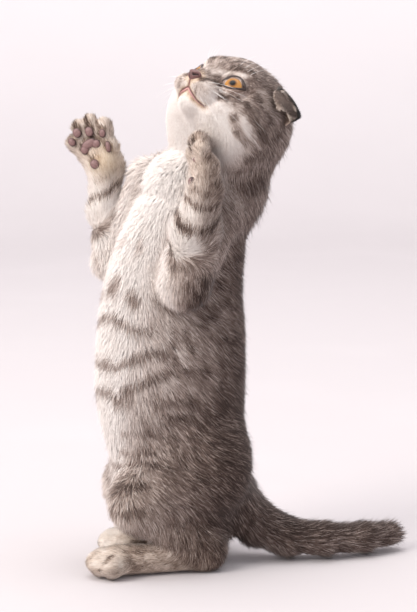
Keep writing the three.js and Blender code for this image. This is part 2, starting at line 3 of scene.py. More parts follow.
import bmesh
import bpy
import numpy as np
from mathutils import Matrix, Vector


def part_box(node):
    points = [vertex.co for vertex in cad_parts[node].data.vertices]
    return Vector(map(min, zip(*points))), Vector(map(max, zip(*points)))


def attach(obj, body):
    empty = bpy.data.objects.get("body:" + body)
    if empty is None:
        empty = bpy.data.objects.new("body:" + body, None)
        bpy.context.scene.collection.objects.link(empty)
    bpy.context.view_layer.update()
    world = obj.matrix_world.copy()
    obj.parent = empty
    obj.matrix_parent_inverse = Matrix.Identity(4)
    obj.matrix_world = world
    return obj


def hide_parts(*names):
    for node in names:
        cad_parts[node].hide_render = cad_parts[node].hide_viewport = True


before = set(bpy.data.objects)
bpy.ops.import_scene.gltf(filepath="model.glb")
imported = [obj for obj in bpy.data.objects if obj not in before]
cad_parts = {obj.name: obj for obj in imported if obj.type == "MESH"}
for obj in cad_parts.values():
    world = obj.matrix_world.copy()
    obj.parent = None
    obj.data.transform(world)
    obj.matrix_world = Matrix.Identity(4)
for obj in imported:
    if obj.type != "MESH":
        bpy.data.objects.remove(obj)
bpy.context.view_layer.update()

# A folded-ear kitten on its hind feet. Shapes are worked out in millimetres in the kitten's own axes:
# +X its left, -Y the way its hind feet point, +Z up, ground at 0. Depths are negative inside the coat.
mm = 0.001
rng = np.random.default_rng(7)


def vec(*numbers):
    return np.array(numbers, float)


def unit(v):
    return v / np.maximum(np.linalg.norm(v, axis=-1, keepdims=True), 1e-9)


def dot(a, b):
    return np.einsum("...i,...i->...", a, b)


# smooth step from 0 at low to 1 at high
def ramp(low, high, x):
    t = np.clip((x - low) / (high - low), 0, 1)
    return t * t * (3 - 2 * t)


# The body, coat included: the same named sizes as the solids have.
torso = {
    "z": vec(21, 40, 62, 90, 120, 150, 180, 202),
    "x": vec(2, 1, -1, -1.4, -1.4, -1, 1, 5),
    "y": vec(6, 1, -2, -4, -3.7, -2.5, 3.5, 11),
    "deep": vec(25, 34, 37, 41, 41.5, 40, 37.5, 33),
    "wide": vec(22, 30, 33, 37, 37, 33, 29, 29),
    "turn": vec(0, 0, 0, 4, 8, 13, 19, 22),
    "low": 15,
    "high": 26,
}
head = {"middle": vec(19, 22.9, 246.1), "turn": 28.7, "raise": 39.2, "tilt": 14.5}
neck = {"low": vec(9, 19, 205), "high": vec(17, 29, 232), "radii": (25.5, 24.5)}
arms = {
    "left": {
        "shoulder": vec(24, 8, 190), "elbow": vec(37, -9, 157), "middle": vec(44, -6.3, 183),
        "wrist": vec(49.5, -3, 204), "tip": vec(43, -0.6, 232), "palm": vec(-0.147, -0.989, 0),
        "radii": (17, 13.5, 13.8, 9.4), "curl": 3.5, "lateral": 1,
    },
    "right": {
        "shoulder": vec(-17.3, -6.7, 205), "elbow": vec(-22.3, -29.5, 163), "middle": vec(-28.3, -32.5, 187),
        "wrist": vec(-30.3, -30.4, 211), "tip": vec(-40.2, -45.2, 247), "palm": vec(0.882, -0.47, 0),
        "radii": (15, 11.5, 9.2, 10), "curl": 1, "lateral": -1,
    },
}
forepaw = {
    "out": 9.5, "across": 11.4, "thick": 8.6, "long": 11.4,
    "toes": ((-9.4, 20.5), (-3.3, 25.5), (3.3, 25.5), (9.4, 19.5)), "toeRadius": 5.2,
}
legs = {
    "left": {
        "hip": vec(20, 6, 56), "knee": vec(23.5, -30, 38), "hock": vec(26.5, 7, 10), "heel": vec(25, 6, 7.2),
        "ball": vec(22, -41, 8.4), "tip": vec(20.5, -58, 7), "lateral": 1,
    },
    "right": {
        "hip": vec(-20, 6, 56), "knee": vec(-23, -18, 38), "hock": vec(-26.5, 27, 10), "heel": vec(-25.5, 26, 7.2),
        "ball": vec(-22.5, -21, 8.4), "tip": vec(-21.5, -38, 7), "lateral": -1,
    },
}
legRadii = {"hip": 24, "knee": 15, "hock": 9.5, "heel": 7.6, "ball": 9.2}
hindToes = {"places": ((-8.6, 3.6), (-3, 0), (3, 0.4), (8.6, 4.6)), "radius": 7.2}
tailLine = (
    (vec(3, 26, 36), 16.5), (vec(7, 40, 21), 13.5), (vec(14, 56, 12.4), 11.8),
    (vec(20, 74, 10.2), 10.8), (vec(21, 96, 9.2), 9.8), (vec(16, 113.5, 8.6), 8.4),
)
eye = {
    "ahead": 14.8, "side": 12.8, "up": 1.5, "radius": 7.6, "gaze": (0.9, 0.4, 0.17),
    "wide": 13.6, "tall": 9.6, "slant": 16, "above": 0.5, "below": 0.34, "lean": 0.1, "rise": 0.4, "front": 2.0,
    "orbit": (0, 0.3, 2.2), "orbitRadius": 8.2,  # the hollow in the skull that the lids lie in
    "lid": 0.55, "cutBack": 0.6,  # how thick the lids are, and how far they stand back from the opening
}


# turning matrix about axis 0, 1 or 2
def turnAbout(axis, angle):
    c, s = math.cos(math.radians(angle)), math.sin(math.radians(angle))
    a, b = (axis + 1) % 3, (axis + 2) % 3
    made = np.eye(3)
    made[a, a] = made[b, b] = c
    made[a, b], made[b, a] = -s, s
    return made


headTurn = turnAbout(2, head["turn"]) @ turnAbout(0, -head["raise"]) @ turnAbout(1, head["tilt"])
headAxes = np.array([headTurn @ vec(0, -1, 0), headTurn @ vec(1, 0, 0), headTurn @ vec(0, 0, 1)])


def onHead(ahead, side, up):
    return head["middle"] + vec(ahead, side, up) @ headAxes


# ahead, side and up of points, in the head's axes
def headPlace(p):
    return (p - head["middle"]) @ headAxes.T


# Distances to the forms that the body is run together from.
# distance to a rounded bar from a to b whose radius goes evenly from ra to rb
def bar(p, a, b, ra, rb=None):
    rb = ra if rb is None else rb
    along = b - a
    t = np.clip((p - a) @ along / (along @ along), 0, 1)
    away = p - a - t[:, None] * along
    return np.sqrt(dot(away, away)) - (ra + t * (rb - ra))


# distance to a ball: from its middle, less its radius
def ball(p, middle, radius):
    away = p - middle
    return np.sqrt(dot(away, away)) - radius


# distance, near the surface, to an egg whose half lengths lie along three axes: with k the length of
# place / half length, it is k (k - 1) over the length of place / half length^2
def egg(p, middle, axes, halves):
    along = (p - middle) @ np.asarray(axes).T
    inner = np.sqrt(dot(along / halves, along / halves))
    slope = np.sqrt(dot(along / np.square(halves), along / np.square(halves)))
    return inner * (inner - 1) / np.maximum(slope, 1e-9)


# the least depth, with a fillet of about soft where two meet: min(a, b) - soft (1 - |a - b| / soft)^2 / 4
def blend(soft, *depths):
    depth = depths[0]
    for other in depths[1:]:
        share = np.maximum(soft - np.abs(depth - other), 0) / soft
        depth = np.minimum(depth, other) - share * share * soft / 4
    return depth


# across and back of the torso's middle line at each point's height, with its half width and half depth:
# each is a cubic between two levels that leaves and arrives with the mean slopes of the levels around it
def torsoFrame(p):
    levels = torso["z"]
    z = np.clip(p[:, 2], levels[0], levels[-1])
    last = len(levels) - 1
    i = np.clip(np.searchsorted(levels, z) - 1, 0, last - 1)
    before, after = np.maximum(i - 1, 0), np.minimum(i + 2, last)
    step = levels[i + 1] - levels[i]
    t = (z - levels[i]) / step

    def at(name):
        v = torso[name]
        leave = (v[i + 1] - v[before]) / (levels[i + 1] - levels[before]) * step
        arrive = (v[after] - v[i]) / (levels[after] - levels[i]) * step
        rise = v[i] * (1 + 2 * t) * (1 - t) ** 2 + leave * t * (1 - t) ** 2
        return rise + v[i + 1] * t * t * (3 - 2 * t) + arrive * t * t * (t - 1)

    turn = np.radians(at("turn"))
    x, y = p[:, 0] - at("x"), p[:, 1] - at("y")
    return x * np.cos(turn) + y * np.sin(turn), y * np.cos(turn) - x * np.sin(turn), at("wide"), at("deep"), z


# (length of (across / half width, back / half depth, height past the ends / its reach) - 1) x the smaller half
def torsoDepth(p):
    across, back, wide, deep, z = torsoFrame(p)
    past = (p[:, 2] - z) / np.where(p[:, 2] > z, torso["high"], torso["low"])
    return (np.sqrt((across / wide) ** 2 + (back / deep) ** 2 + past**2) - 1) * np.minimum(wide, deep)


# skull, jaw, cheeks, jowls, ruff and brows run together widely, then muzzle and bridge, then pads and chin
def headDepth(p):
    q = headPlace(p)
    axes = np.eye(3)
    pair = (1, -1)
    skull = egg(q, vec(-5, 0, 2), axes, vec(30, 26.5, 25))
    jaw = bar(q, vec(3, 0, -15), vec(19, 0, -15), 13, 8)
    cheeks = [ball(q, vec(2, s * 16, -9), 15.5) for s in pair]
    jowls = [ball(q, vec(12, s * 13, -12.5), 9.5) for s in pair]
    ruff = [ball(q, vec(-1, s * 17, -19), 12.5) for s in pair]
    brows = [ball(q, vec(14, s * 11, 7.6), 6.8) for s in pair]
    skin = blend(9, skull, jaw, *cheeks, *jowls, *ruff, *brows)
    muzzle = egg(q, vec(18, 0, -7), axes, vec(13.5, 12.5, 10))
    bridge = bar(q, vec(13, 0, 8), vec(29.2, 0, -5), 7, 4.2)
    pads = [egg(q, vec(25, s * 7.4, -8.8), axes, vec(7.6, 7.4, 6.5)) for s in pair]
    chin = ball(q, vec(23.6, 0, -16), 6)
    return blend(3, blend(6, skin, muzzle, bridge), *pads, chin)


# across to the outer toe, palm down, and out along the toes
def pawAxes(arm):
    out = unit(arm["tip"] - arm["wrist"])
    down = unit(arm["palm"] - out * (arm["palm"] @ out))
    return np.array([np.cross(out, down) * arm["lateral"], down, out])


# wrist, palm and dewclaw run together, and four toes that part from each other with a thin fillet
def forepawDepth(p, arm):
    axes = pawAxes(arm)
    q = (p - arm["wrist"]) @ axes.T
    palm = egg(q, vec(0, 0, forepaw["out"]), np.eye(3), vec(forepaw["across"], forepaw["thick"], forepaw["long"]))
    dewclaw = ball(q, vec(-9.03, 3.5, 8), 3.6)
    radius, curl = forepaw["toeRadius"], arm["curl"]
    toes = [bar(q, vec(a * 0.62, 0, 9), vec(a, curl, reach), radius * 0.94, radius) for a, reach in forepaw["toes"]]
    flesh = blend(5, ball(q, vec(0, 0, 0), arm["radii"][3]), palm, dewclaw)
    return blend(2, flesh, *toes)


# upper arm, the two lengths of the forearm, and paw
def armDepths(p, arm):
    shoulder, elbow, middle, wrist = arm["radii"]
    upper = bar(p, arm["shoulder"], arm["elbow"], shoulder, elbow)
    lower = bar(p, arm["elbow"], arm["middle"], elbow, middle)
    fore = bar(p, arm["middle"], arm["wrist"], middle, wrist)
    return upper, lower, fore, forepawDepth(p, arm)


# thigh, shank and foot as bars, and a bar to the tip of each toe
def legDepths(p, leg):
    out = unit((leg["tip"] - leg["heel"]) * vec(1, 1, 0))
    across = vec(-out[1], out[0], 0) * leg["lateral"]
    thigh = bar(p, leg["hip"], leg["knee"], legRadii["hip"], legRadii["knee"])
    shank = bar(p, leg["knee"], leg["hock"], legRadii["knee"], legRadii["hock"])
    foot = bar(p, leg["heel"], leg["ball"], legRadii["heel"], legRadii["ball"])
    radius = hindToes["radius"]
    toes = [
        bar(p, leg["ball"] + across * a * 0.55, leg["tip"] + across * a - out * (short + radius), radius)
        for a, short in hindToes["places"]
    ]
    return thigh, shank, foot, toes


# a bar from each place of the tail's line to the next
def tailDepths(p):
    return [bar(p, a, b, ra, rb) for (a, ra), (b, rb) in zip(tailLine, tailLine[1:])]


# Each stretch of the body: depth of its coat, length and width of a tuft in mm, and tufts to the square mm.
coat = {
    "torso": {"deep": 3.6, "long": 8.0, "wide": 0.55, "dense": 3.1},
    "neck": {"deep": 4.2, "long": 9.0, "wide": 0.55, "dense": 3.4},
    "head": {"deep": 2.4, "long": 5.0, "wide": 0.44, "dense": 5.4},
    "upperArm": {"deep": 3.0, "long": 7.5, "wide": 0.55, "dense": 3.2},
    "forearm": {"deep": 2.6, "long": 6.0, "wide": 0.5, "dense": 3.4},
    "forepaw": {"deep": 1.5, "long": 3.2, "wide": 0.42, "dense": 5.0},
    "thigh": {"deep": 3.4, "long": 8.0, "wide": 0.6, "dense": 2.6},
    "shank": {"deep": 2.8, "long": 6.0, "wide": 0.55, "dense": 2.8},
    "foot": {"deep": 1.4, "long": 3.2, "wide": 0.45, "dense": 4.6},
    "tail": {"deep": 3.4, "long": 8.0, "wide": 0.55, "dense": 3.4},
}
face = {"deep": 1.0, "long": 2.1, "wide": 0.32, "dense": 8.5}
stretches = list(coat)


# depth below the coat of the whole body, and of each stretch alone, left and right taken together
def partDepths(p):
    torsoD, headD = torsoDepth(p), headDepth(p)
    neckD = bar(p, neck["low"], neck["high"], *neck["radii"])
    whole = blend(12, torsoD, neckD, headD)
    armD = [armDepths(p, arms[side]) for side in ("left", "right")]
    legD = [legDepths(p, legs[side]) for side in ("left", "right")]
    tails = tailDepths(p)
    feet = [blend(2.2, foot, *toes) for thigh, shank, foot, toes in legD]
    whole = blend(20, whole, *[blend(2.2, blend(7, thigh, shank, foot), *toes) for thigh, shank, foot, toes in legD])
    whole = blend(9, whole, *[blend(4, *parts) for parts in armD], blend(3, *tails))
    alone = [
        torsoD, neckD, headD,
        np.minimum(armD[0][0], armD[1][0]),
        np.minimum.reduce([armD[0][1], armD[0][2], armD[1][1], armD[1][2]]),
        np.minimum(armD[0][3], armD[1][3]),
        np.minimum(legD[0][0], legD[1][0]), np.minimum(legD[0][1], legD[1][1]), np.minimum(*feet),
        np.minimum.reduce(tails),
    ]
    return whole, np.array(alone).T


# how much of each stretch a point belongs to, shares adding up to 1
def partShares(alone):
    share = np.exp(-(alone - alone.min(axis=1, keepdims=True)) / 3.0)
    return share / share.sum(axis=1, keepdims=True)


# 1 on the front of the face, where the coat is the shortest, and 0 behind the cheeks
def faceShare(p, shares):
    return shares[:, 2] * ramp(-2, 14, headPlace(p)[:, 0])


# one size of the coat at each point, run together from the stretches
def coatSize(name, p, shares):
    front = faceShare(p, shares)
    return shares @ vec(*[coat[n][name] for n in stretches]) * (1 - front) + face[name] * front


# Eyes: the opening's own axes are across, above and along the gaze.
def eyeFrame(side):
    middle = onHead(eye["ahead"], side * eye["side"], eye["up"])
    ahead, level, up = headAxes
    gaze = unit(eye["gaze"][0] * ahead + side * eye["gaze"][1] * level + eye["gaze"][2] * up)
    flat = unit(level * side - gaze * (level * side @ gaze))
    above = np.cross(gaze, flat) * side
    c, s = math.cos(math.radians(eye["slant"])), math.sin(math.radians(eye["slant"]))
    return middle, np.array([flat * c + above * s, above * c - flat * s, gaze])


# upper and lower edge of the opening, for a from -1 at the inner corner to 1 at the outer: a share of the
# height x (1 - a^2), fuller to the outside above and to the inside below, both rising outwards
def lidLine(a):
    bow, lean, rise = 1 - a * a, eye["lean"] * a, eye["rise"] * a
    return (
        eye["tall"] * eye["above"] * bow * (1 + lean) + rise,
        -eye["tall"] * eye["below"] * bow * (1 - lean) + rise,
    )


# negative in front of the eyeball between the lids: the greatest of the distances past a lid's edge (x 0.75),
# past a corner, and behind the front
def openingDepth(p, side):
    middle, axes = eyeFrame(side)
    q = (p - middle) @ axes.T
    half = eye["wide"] / 2
    upper, lower = lidLine(np.clip(q[:, 0] / half, -1, 1))
    between = np.maximum(q[:, 1] - upper, lower - q[:, 1])
    return np.maximum.reduce([between * 0.75, np.abs(q[:, 0]) - half, eye["front"] - q[:, 2]])


# The line of the mouth from its middle to a corner, and the cleft above it, in the head's axes.
mouthLine = [vec(32, 0, -12), vec(31, 2.5, -13.6), vec(28.6, 5.2, -14.4), vec(25, 8, -14.6), vec(21, 11.2, -14.2)]
mouthCut = {
    "radius": 0.7, "inset": vec(1.2, 0.3, 0), "cleft": (vec(33, 0, -8), vec(31, 0, -12.3)), "cleftRadius": 0.35,
}
facePart = {"middle": (20, 0, -4), "reach": 34}  # eyes and mouth lie within it
bareNose = {"middle": (32, 0, -5), "halves": (4.2, 4.7, 3.7)}


# distance to the line of the mouth, the same on both sides: the least to its bars and to the cleft's
def mouthDepth(p):
    place = headPlace(p)
    place[:, 1] = np.abs(place[:, 1])
    line = [v - mouthCut["inset"] for v in mouthLine]
    groove = np.minimum.reduce([bar(place, a, b, mouthCut["radius"]) for a, b in zip(line, line[1:])])
    return np.minimum(groove, bar(place, *mouthCut["cleft"], mouthCut["cleftRadius"]))


# how far a place on the head is from the middle of the nose, 1 at the edge of its bare skin
def noseAway(q):
    return np.linalg.norm((q - vec(*bareNose["middle"])) / vec(*bareNose["halves"]), axis=1)


# the skin: the body drawn in by the coat's depth, with lids over the eyes and the line of the mouth cut in
def skinDepth(p, fine=True):
    whole, alone = partDepths(p)
    depth = whole + coatSize("deep", p, partShares(alone))
    if not fine:
        return depth
    near = np.flatnonzero(np.linalg.norm(p - onHead(*facePart["middle"]), axis=1) < facePart["reach"])
    q, d = p[near], depth[near]
    for side in (1, -1):
        middle, axes = eyeFrame(side)
        local = (q - middle) @ axes.T
        d = -blend(3.5, -d, ball(local, vec(*eye["orbit"]), eye["orbitRadius"]))
        d = blend(1.2, d, ball(local, vec(0, 0, 0), eye["radius"] + eye["lid"]))
        d = np.maximum(d, -openingDepth(q, side) - eye["cutBack"])
    depth[near] = -blend(0.8, -d, mouthDepth(q))
    return depth


# slope of a depth in space, from its values a little to either side
def slopeOf(depthAt, p, h=0.2):
    steps = np.eye(3) * h
    return np.stack([(depthAt(p + s) - depthAt(p - s)) / (2 * h) for s in steps], axis=1)


# Where the kitten stands in the part's frame: its left eyeball gives the shift.
eyeLow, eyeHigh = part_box("eye_left")
shift = (np.array(eyeLow) + np.array(eyeHigh)) / 2 / mm - onHead(eye["ahead"], eye["side"], eye["up"])
shift[2] = 0
print("frame: the kitten's own axes are moved by", shift.round(2), "mm")


# Noise, as a smooth mix of a random lattice, from -1 to 1.
lattice = rng.random((32, 32, 32)) * 2 - 1


def noise(p, size, salt=0):
    q = p / size + salt * 7.31
    base = np.floor(q).astype(int)
    t = q - base
    t = t * t * (3 - 2 * t)
    total = np.zeros(len(p))
    for corner in range(8):
        bits = np.array([corner & 1, corner >> 1 & 1, corner >> 2])
        cell = (base + bits) % 32
        weight = np.prod(np.where(bits, t, 1 - t), axis=1)
        total += lattice[cell[:, 0], cell[:, 1], cell[:, 2]] * weight
    return total


# Meshes.
# points in millimetres in the kitten's axes; faces an array with one row a face; values one number a point
def makePiece(name, points, faces, finish, slot, values=None, uv=None, normals=None):
    mesh = bpy.data.meshes.new(name)
    sides = faces.shape[1]
    mesh.vertices.add(len(points))
    mesh.vertices.foreach_set("co", ((points + shift) * mm).astype(np.float32).ravel())
    mesh.loops.add(faces.size)
    mesh.loops.foreach_set("vertex_index", faces.astype(np.int32).ravel())
    mesh.polygons.add(len(faces))
    mesh.polygons.foreach_set("loop_start", np.arange(0, faces.size, sides, dtype=np.int32))
    mesh.polygons.foreach_set("use_smooth", np.ones(len(faces), bool))
    mesh.update(calc_edges=True)
    if normals is not None:
        mesh.attributes.new("custom_normal", "FLOAT_VECTOR", "POINT").data.foreach_set(
            "vector", normals.astype(np.float32).ravel()
        )
    for key, value in (values or {}).items():
        mesh.attributes.new(key, "FLOAT", "POINT").data.foreach_set("value", value.astype(np.float32))
    if uv is not None:
        layer = mesh.uv_layers.new(name="OFBake")
        layer.uv.foreach_set("vector", uv[faces.ravel()].astype(np.float32).ravel())
    mesh.validate()
    mesh.materials.append(finish)
    piece = bpy.data.objects.new(name, mesh)
    bpy.context.scene.collection.objects.link(piece)
    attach(piece, "root")
    return piece


# quads of a grid with rows x columns points, row by row
def gridFaces(rows, columns, closeAcross=False):
    r, c = np.meshgrid(np.arange(rows - 1), np.arange(columns if closeAcross else columns - 1), indexing="ij")
    a, b = r * columns + c, r * columns + (c + 1) % columns
    return np.stack([a, b, b + columns, a + columns], axis=-1).reshape(-1, 4)


# a round section of the given radii carried along points, its ends drawn to a point unless the line closes
def tubeAlong(points, radii, sides=8):
    points = np.asarray(points, float)
    ahead = unit(np.gradient(points, axis=0))
    start = np.cross(ahead, vec(0.31, 0.52, 0.8))
    one = unit(start)
    two = np.cross(ahead, one)
    turn = np.linspace(0, 2 * np.pi, sides, endpoint=False)
    ring = np.cos(turn)[None, :, None] * one[:, None] + np.sin(turn)[None, :, None] * two[:, None]
    radii = np.array(radii, float)
    radii[[0, -1]] *= 0.02 if np.linalg.norm(points[0] - points[-1]) > 0.01 else 1
    rings = points[:, None] + ring * radii[:, None, None]
    return rings.reshape(-1, 3), gridFaces(len(points), sides, True)


# several (points, faces) as one
def joined(pieces):
    offsets = np.cumsum([0] + [len(p) for p, f in pieces[:-1]])
    return np.concatenate([p for p, f in pieces]), np.concatenate([f + o for (p, f), o in zip(pieces, offsets)])


# Materials.
# sRGB hex to linear RGBA
def linear(code):
    parts = [int(code[i : i + 2], 16) / 255 for i in (1, 3, 5)]
    return (*[v / 12.92 if v <= 0.04045 else ((v + 0.055) / 1.055) ** 2.4 for v in parts], 1)


# adds a node with its settings, a colour ramp's stops among them, and its links
def addNode(tree, kind, settings=None, links=None):
    made = tree.nodes.new(kind)
    for key, value in (settings or {}).items():
        if key == "stops":
            bands = made.color_ramp.elements
            while len(bands) < len(value):
                bands.new(0.5)
            for band, (place, code) in zip(bands, value):
                band.position, band.color = place, linear(code)
        elif isinstance(key, int) or key in made.inputs:
            made.inputs[key].default_value = value
        else:
            setattr(made, key, value)
    for key, source in (links or {}).items():
        tree.links.new(source, made.inputs[key])
    return made


# a material and its tree, with the shader's own settings
def newMaterial(name, shader):
    made = bpy.data.materials.new(name)
    made.use_nodes = True
    tree = made.node_tree
    main = tree.nodes["Principled BSDF"]
    for key, value in shader.items():
        main.inputs[key].default_value = value
    return made, tree, main


# hair from the palest to the darkest, silver and tan
coatColours = {
    "silver": ((0.0, "#fbf5f2"), (0.25, "#dacdc8"), (0.5, "#a3938d"), (0.75, "#6d5c56"), (1.0, "#362925")),
    "tan": ((0.0, "#f7ead9"), (0.25, "#dcc3a6"), (0.5, "#b09478"), (0.75, "#7c6350"), (1.0, "#43322a")),
}


# Hair of a silver tabby, grown as short plush fur: matt, with a little sheen at the edges that makes it look
# soft, and ticked light and dark from hair to hair.
def furMaterial(name, grainSize, grainDepth):
    made, tree, main = newMaterial(
        name, {"Roughness": 0.72, "Specular IOR Level": 0.2, "Sheen Weight": 0.2, "Sheen Roughness": 0.5}
    )
    tone, warm = [
        addNode(tree, "ShaderNodeAttribute", {"attribute_name": key}).outputs["Fac"] for key in ("tone", "warm")
    ]
    place = addNode(tree, "ShaderNodeTexCoord").outputs["Object"]
    ticks = {"Scale": 1 / (grainSize * mm), "Detail": 2.0}
    grain = addNode(tree, "ShaderNodeTexNoise", ticks, {"Vector": place}).outputs["Fac"]
    lighter = addNode(tree, "ShaderNodeMath", {"operation": "MULTIPLY_ADD", 1: 0.2, 2: -0.1}, {0: grain}).outputs[0]
    mixed = addNode(tree, "ShaderNodeMath", {"operation": "ADD", "use_clamp": True}, {0: tone, 1: lighter}).outputs[0]
    silver, tan = [
        addNode(tree, "ShaderNodeValToRGB", {"stops": coatColours[key]}, {"Fac": mixed}).outputs["Color"]
        for key in ("silver", "tan")
    ]
    colour = addNode(tree, "ShaderNodeMix", {"data_type": "RGBA"}, {"Factor": warm, 6: silver, 7: tan})
    tree.links.new(colour.outputs[2], main.inputs["Base Color"])
    bump = addNode(tree, "ShaderNodeBump", {"Strength": 0.5, "Distance": grainDepth * mm}, {"Height": grain})
    tree.links.new(bump.outputs["Normal"], main.inputs["Normal"])
    return made


furTufts = furMaterial("Kitten fur tufts", 1.1, 0.1)  # ticks 1.1 mm apart: single hairs, under 0.1 mm, can't show
furSkin = furMaterial("Short plush fur", 0.9, 0.5)


# The camera: level with the kitten's waist, to its left and a little ahead, looking slightly down.
camera = {"azimuth": 70, "far": 1270, "height": 301, "aside": 16.1, "down": 7.27, "lens": 141.18}


# links an object into the scene at a place, its own axes lying along right, up and away
def standAt(made, right, up, away, place):
    matrix = np.eye(4)
    matrix[:3] = np.column_stack([right, up, away, place])
    bpy.context.scene.collection.objects.link(made)
    made.matrix_world = Matrix(matrix.tolist())


def makeCamera():
    a, d = math.radians(camera["azimuth"]), math.radians(camera["down"])
    right = vec(math.cos(a), math.sin(a), 0)
    back = vec(math.sin(a), -math.cos(a), 0)
    up = -math.sin(d) * back + math.cos(d) * vec(0, 0, 1)
    away = math.cos(d) * back + math.sin(d) * vec(0, 0, 1)
    place = back * camera["far"] + vec(0, 0, camera["height"]) + right * camera["aside"] + shift
    data = bpy.data.cameras.new("camera")
    data.lens, data.sensor_width = camera["lens"], 36
    data.clip_start, data.clip_end = 0.05, 30
    made = bpy.data.objects.new("camera", data)
    standAt(made, right, up, away, place * mm)
    bpy.context.scene.camera = made
    return right, back


viewRight, viewBack = makeCamera()

# A pale floor that runs up into a pale wall, and soft lights. Sizes and places are in metres, and a place is to
# the camera's right of the kitten, towards the camera, and up.
studio = {
    "wallFar": 1.6, "bend": 0.8, "half": 6, "bendRows": 24, "columns": 5, "sky": "#fdfbff", "skyStrength": 0.97,
    # painted shade: the paper is darker on the floor round the kitten and paler up the wall
    "floor": ((0.03, "#c2bcbd"), (0.06, "#c6c0c1"), (0.9, "#f7f2f3")),  # by height: darker where the kitten stands
    "clouds": 6.0, "unevenness": 0.06,
}
lights = {
    "key": {"power": 25, "size": 0.9, "place": (-1.1, 0.9, 1.1), "aim": (0, 0, 0.15), "colour": "#fffaf4"},
    "fill": {"power": 2, "size": 1.2, "place": (1.3, 1.2, 0.7), "aim": (0, 0, 0.15), "colour": "#f4f6ff"},
    "top": {"power": 5, "size": 1.4, "place": (0.1, -0.3, 1.7), "aim": (0, 0, 0.15), "colour": "#ffffff"},
    "back": {"power": 29, "size": 2.0, "place": (0, -0.4, 2.2), "aim": (0, -2.2, 0.4), "colour": "#ffffff"},
}
bpy.context.scene.view_settings.view_transform = "Standard"


def inStudio(aside, near, up):
    return viewRight * aside + viewBack * near + vec(0, 0, up)


# a sheet carried sideways along a line: flat to the wall, a quarter round of radius bend, and straight up
def makeFloor():
    far, bend, half = studio["wallFar"], studio["bend"], studio["half"]
    turn = np.linspace(0, np.pi / 2, studio["bendRows"])
    along = np.concatenate([[-half], far + bend * np.sin(turn), [far + bend]])
    up = np.concatenate([[0], bend * (1 - np.cos(turn)), [half]])
    across = np.linspace(-half, half, studio["columns"])
    points = (
        -viewBack[None, None] * along[:, None, None]
        + viewRight[None, None] * across[None, :, None]
        + vec(0, 0, 1)[None, None] * up[:, None, None]
    ).reshape(-1, 3)
    mesh = bpy.data.meshes.new("floor")
    mesh.from_pydata(points.tolist(), [], gridFaces(len(along), studio["columns"]).tolist())
    mesh.shade_smooth()
    # uncoated paper: matt, so that it shows no lights and only soft shadows
    made, tree, main = newMaterial("Matt pale paper", {"Roughness": 0.9})
    place = addNode(tree, "ShaderNodeTexCoord").outputs["Object"]
    clouds = {"Scale": studio["clouds"], "Detail": 3.0}
    fibre = addNode(tree, "ShaderNodeTexNoise", clouds, {"Vector": place}).outputs["Fac"]
    height = addNode(tree, "ShaderNodeSeparateXYZ", links={"Vector": place}).outputs["Z"]
    uneven = {"operation": "MULTIPLY_ADD", 1: studio["unevenness"]}
    mixed = addNode(tree, "ShaderNodeMath", uneven, {0: fibre, 2: height}).outputs[0]
    # painted shade by height: darker on the floor, paler up the wall, with a little uneven fibre
    pale = addNode(tree, "ShaderNodeValToRGB", {"stops": studio["floor"]}, {"Fac": mixed})
    tree.links.new(pale.outputs["Color"], main.inputs["Base Color"])
    mesh.materials.append(made)
    floor = bpy.data.objects.new("floor", mesh)
    bpy.context.scene.collection.objects.link(floor)


def makeLights():
    world = bpy.data.worlds.new("studio")
    bpy.context.scene.world = world
    world.use_nodes = True
    sky = world.node_tree.nodes["Background"]
    sky.inputs["Color"].default_value = linear(studio["sky"])
    sky.inputs["Strength"].default_value = studio["skyStrength"]
    for name, light in lights.items():
        data = bpy.data.lights.new(name, "AREA")
        data.energy, data.size, data.color = light["power"], light["size"], linear(light["colour"])[:3]
        place = inStudio(*light["place"])
        away = unit(place - inStudio(*light["aim"]))
        side = unit(np.cross(vec(0, 0, 1), away))
        standAt(bpy.data.objects.new(name, data), side, np.cross(away, side), away, place)


makeFloor()
makeLights()
print("camera, floor and lights made")


# The skin, walked out on a grid: one point in each cell that the surface crosses, at the mean of the
# crossings on its edges, and one quad across each grid edge whose ends differ in sign.
skinGrid = {"step": 1.5, "coarse": 4, "rounds": 3, "low": (-52, -64, -1.6), "high": (60, 124, 278), "near": 1.9}
# the face is split finer within reach of each eye and over the mouth, once, and once more a little closer in
faceSplit = {"eye": (17, 13.5, 2), "reach": (11.5, 9.6), "mouth": (20, 14, -19)}


# depths on the whole grid: coarse everywhere, fine only in the cells that the surface comes near
def gridDepths(low, step, counts):
    k = skinGrid["coarse"]
    coarse = [np.arange(0, n + k, k) for n in counts]
    axes = np.meshgrid(*coarse, indexing="ij")
    p = np.stack(axes, axis=-1).reshape(-1, 3) * step + low
    rough = skinDepth(p, False).reshape(axes[0].shape)
    depth = rough.repeat(k, 0).repeat(k, 1).repeat(k, 2)[: counts[0], : counts[1], : counts[2]]
    near = (np.abs(rough) < k * step * skinGrid["near"]).repeat(k, 0).repeat(k, 1).repeat(k, 2)
    near = near[: counts[0], : counts[1], : counts[2]]
    wider = near.copy()
    for axis in range(3):
        wider |= np.roll(near, k // 2, axis) | np.roll(near, -k // 2, axis)
    where = np.argwhere(wider)
    depth[tuple(where.T)] = skinDepth(where * step + low, False)
    return depth


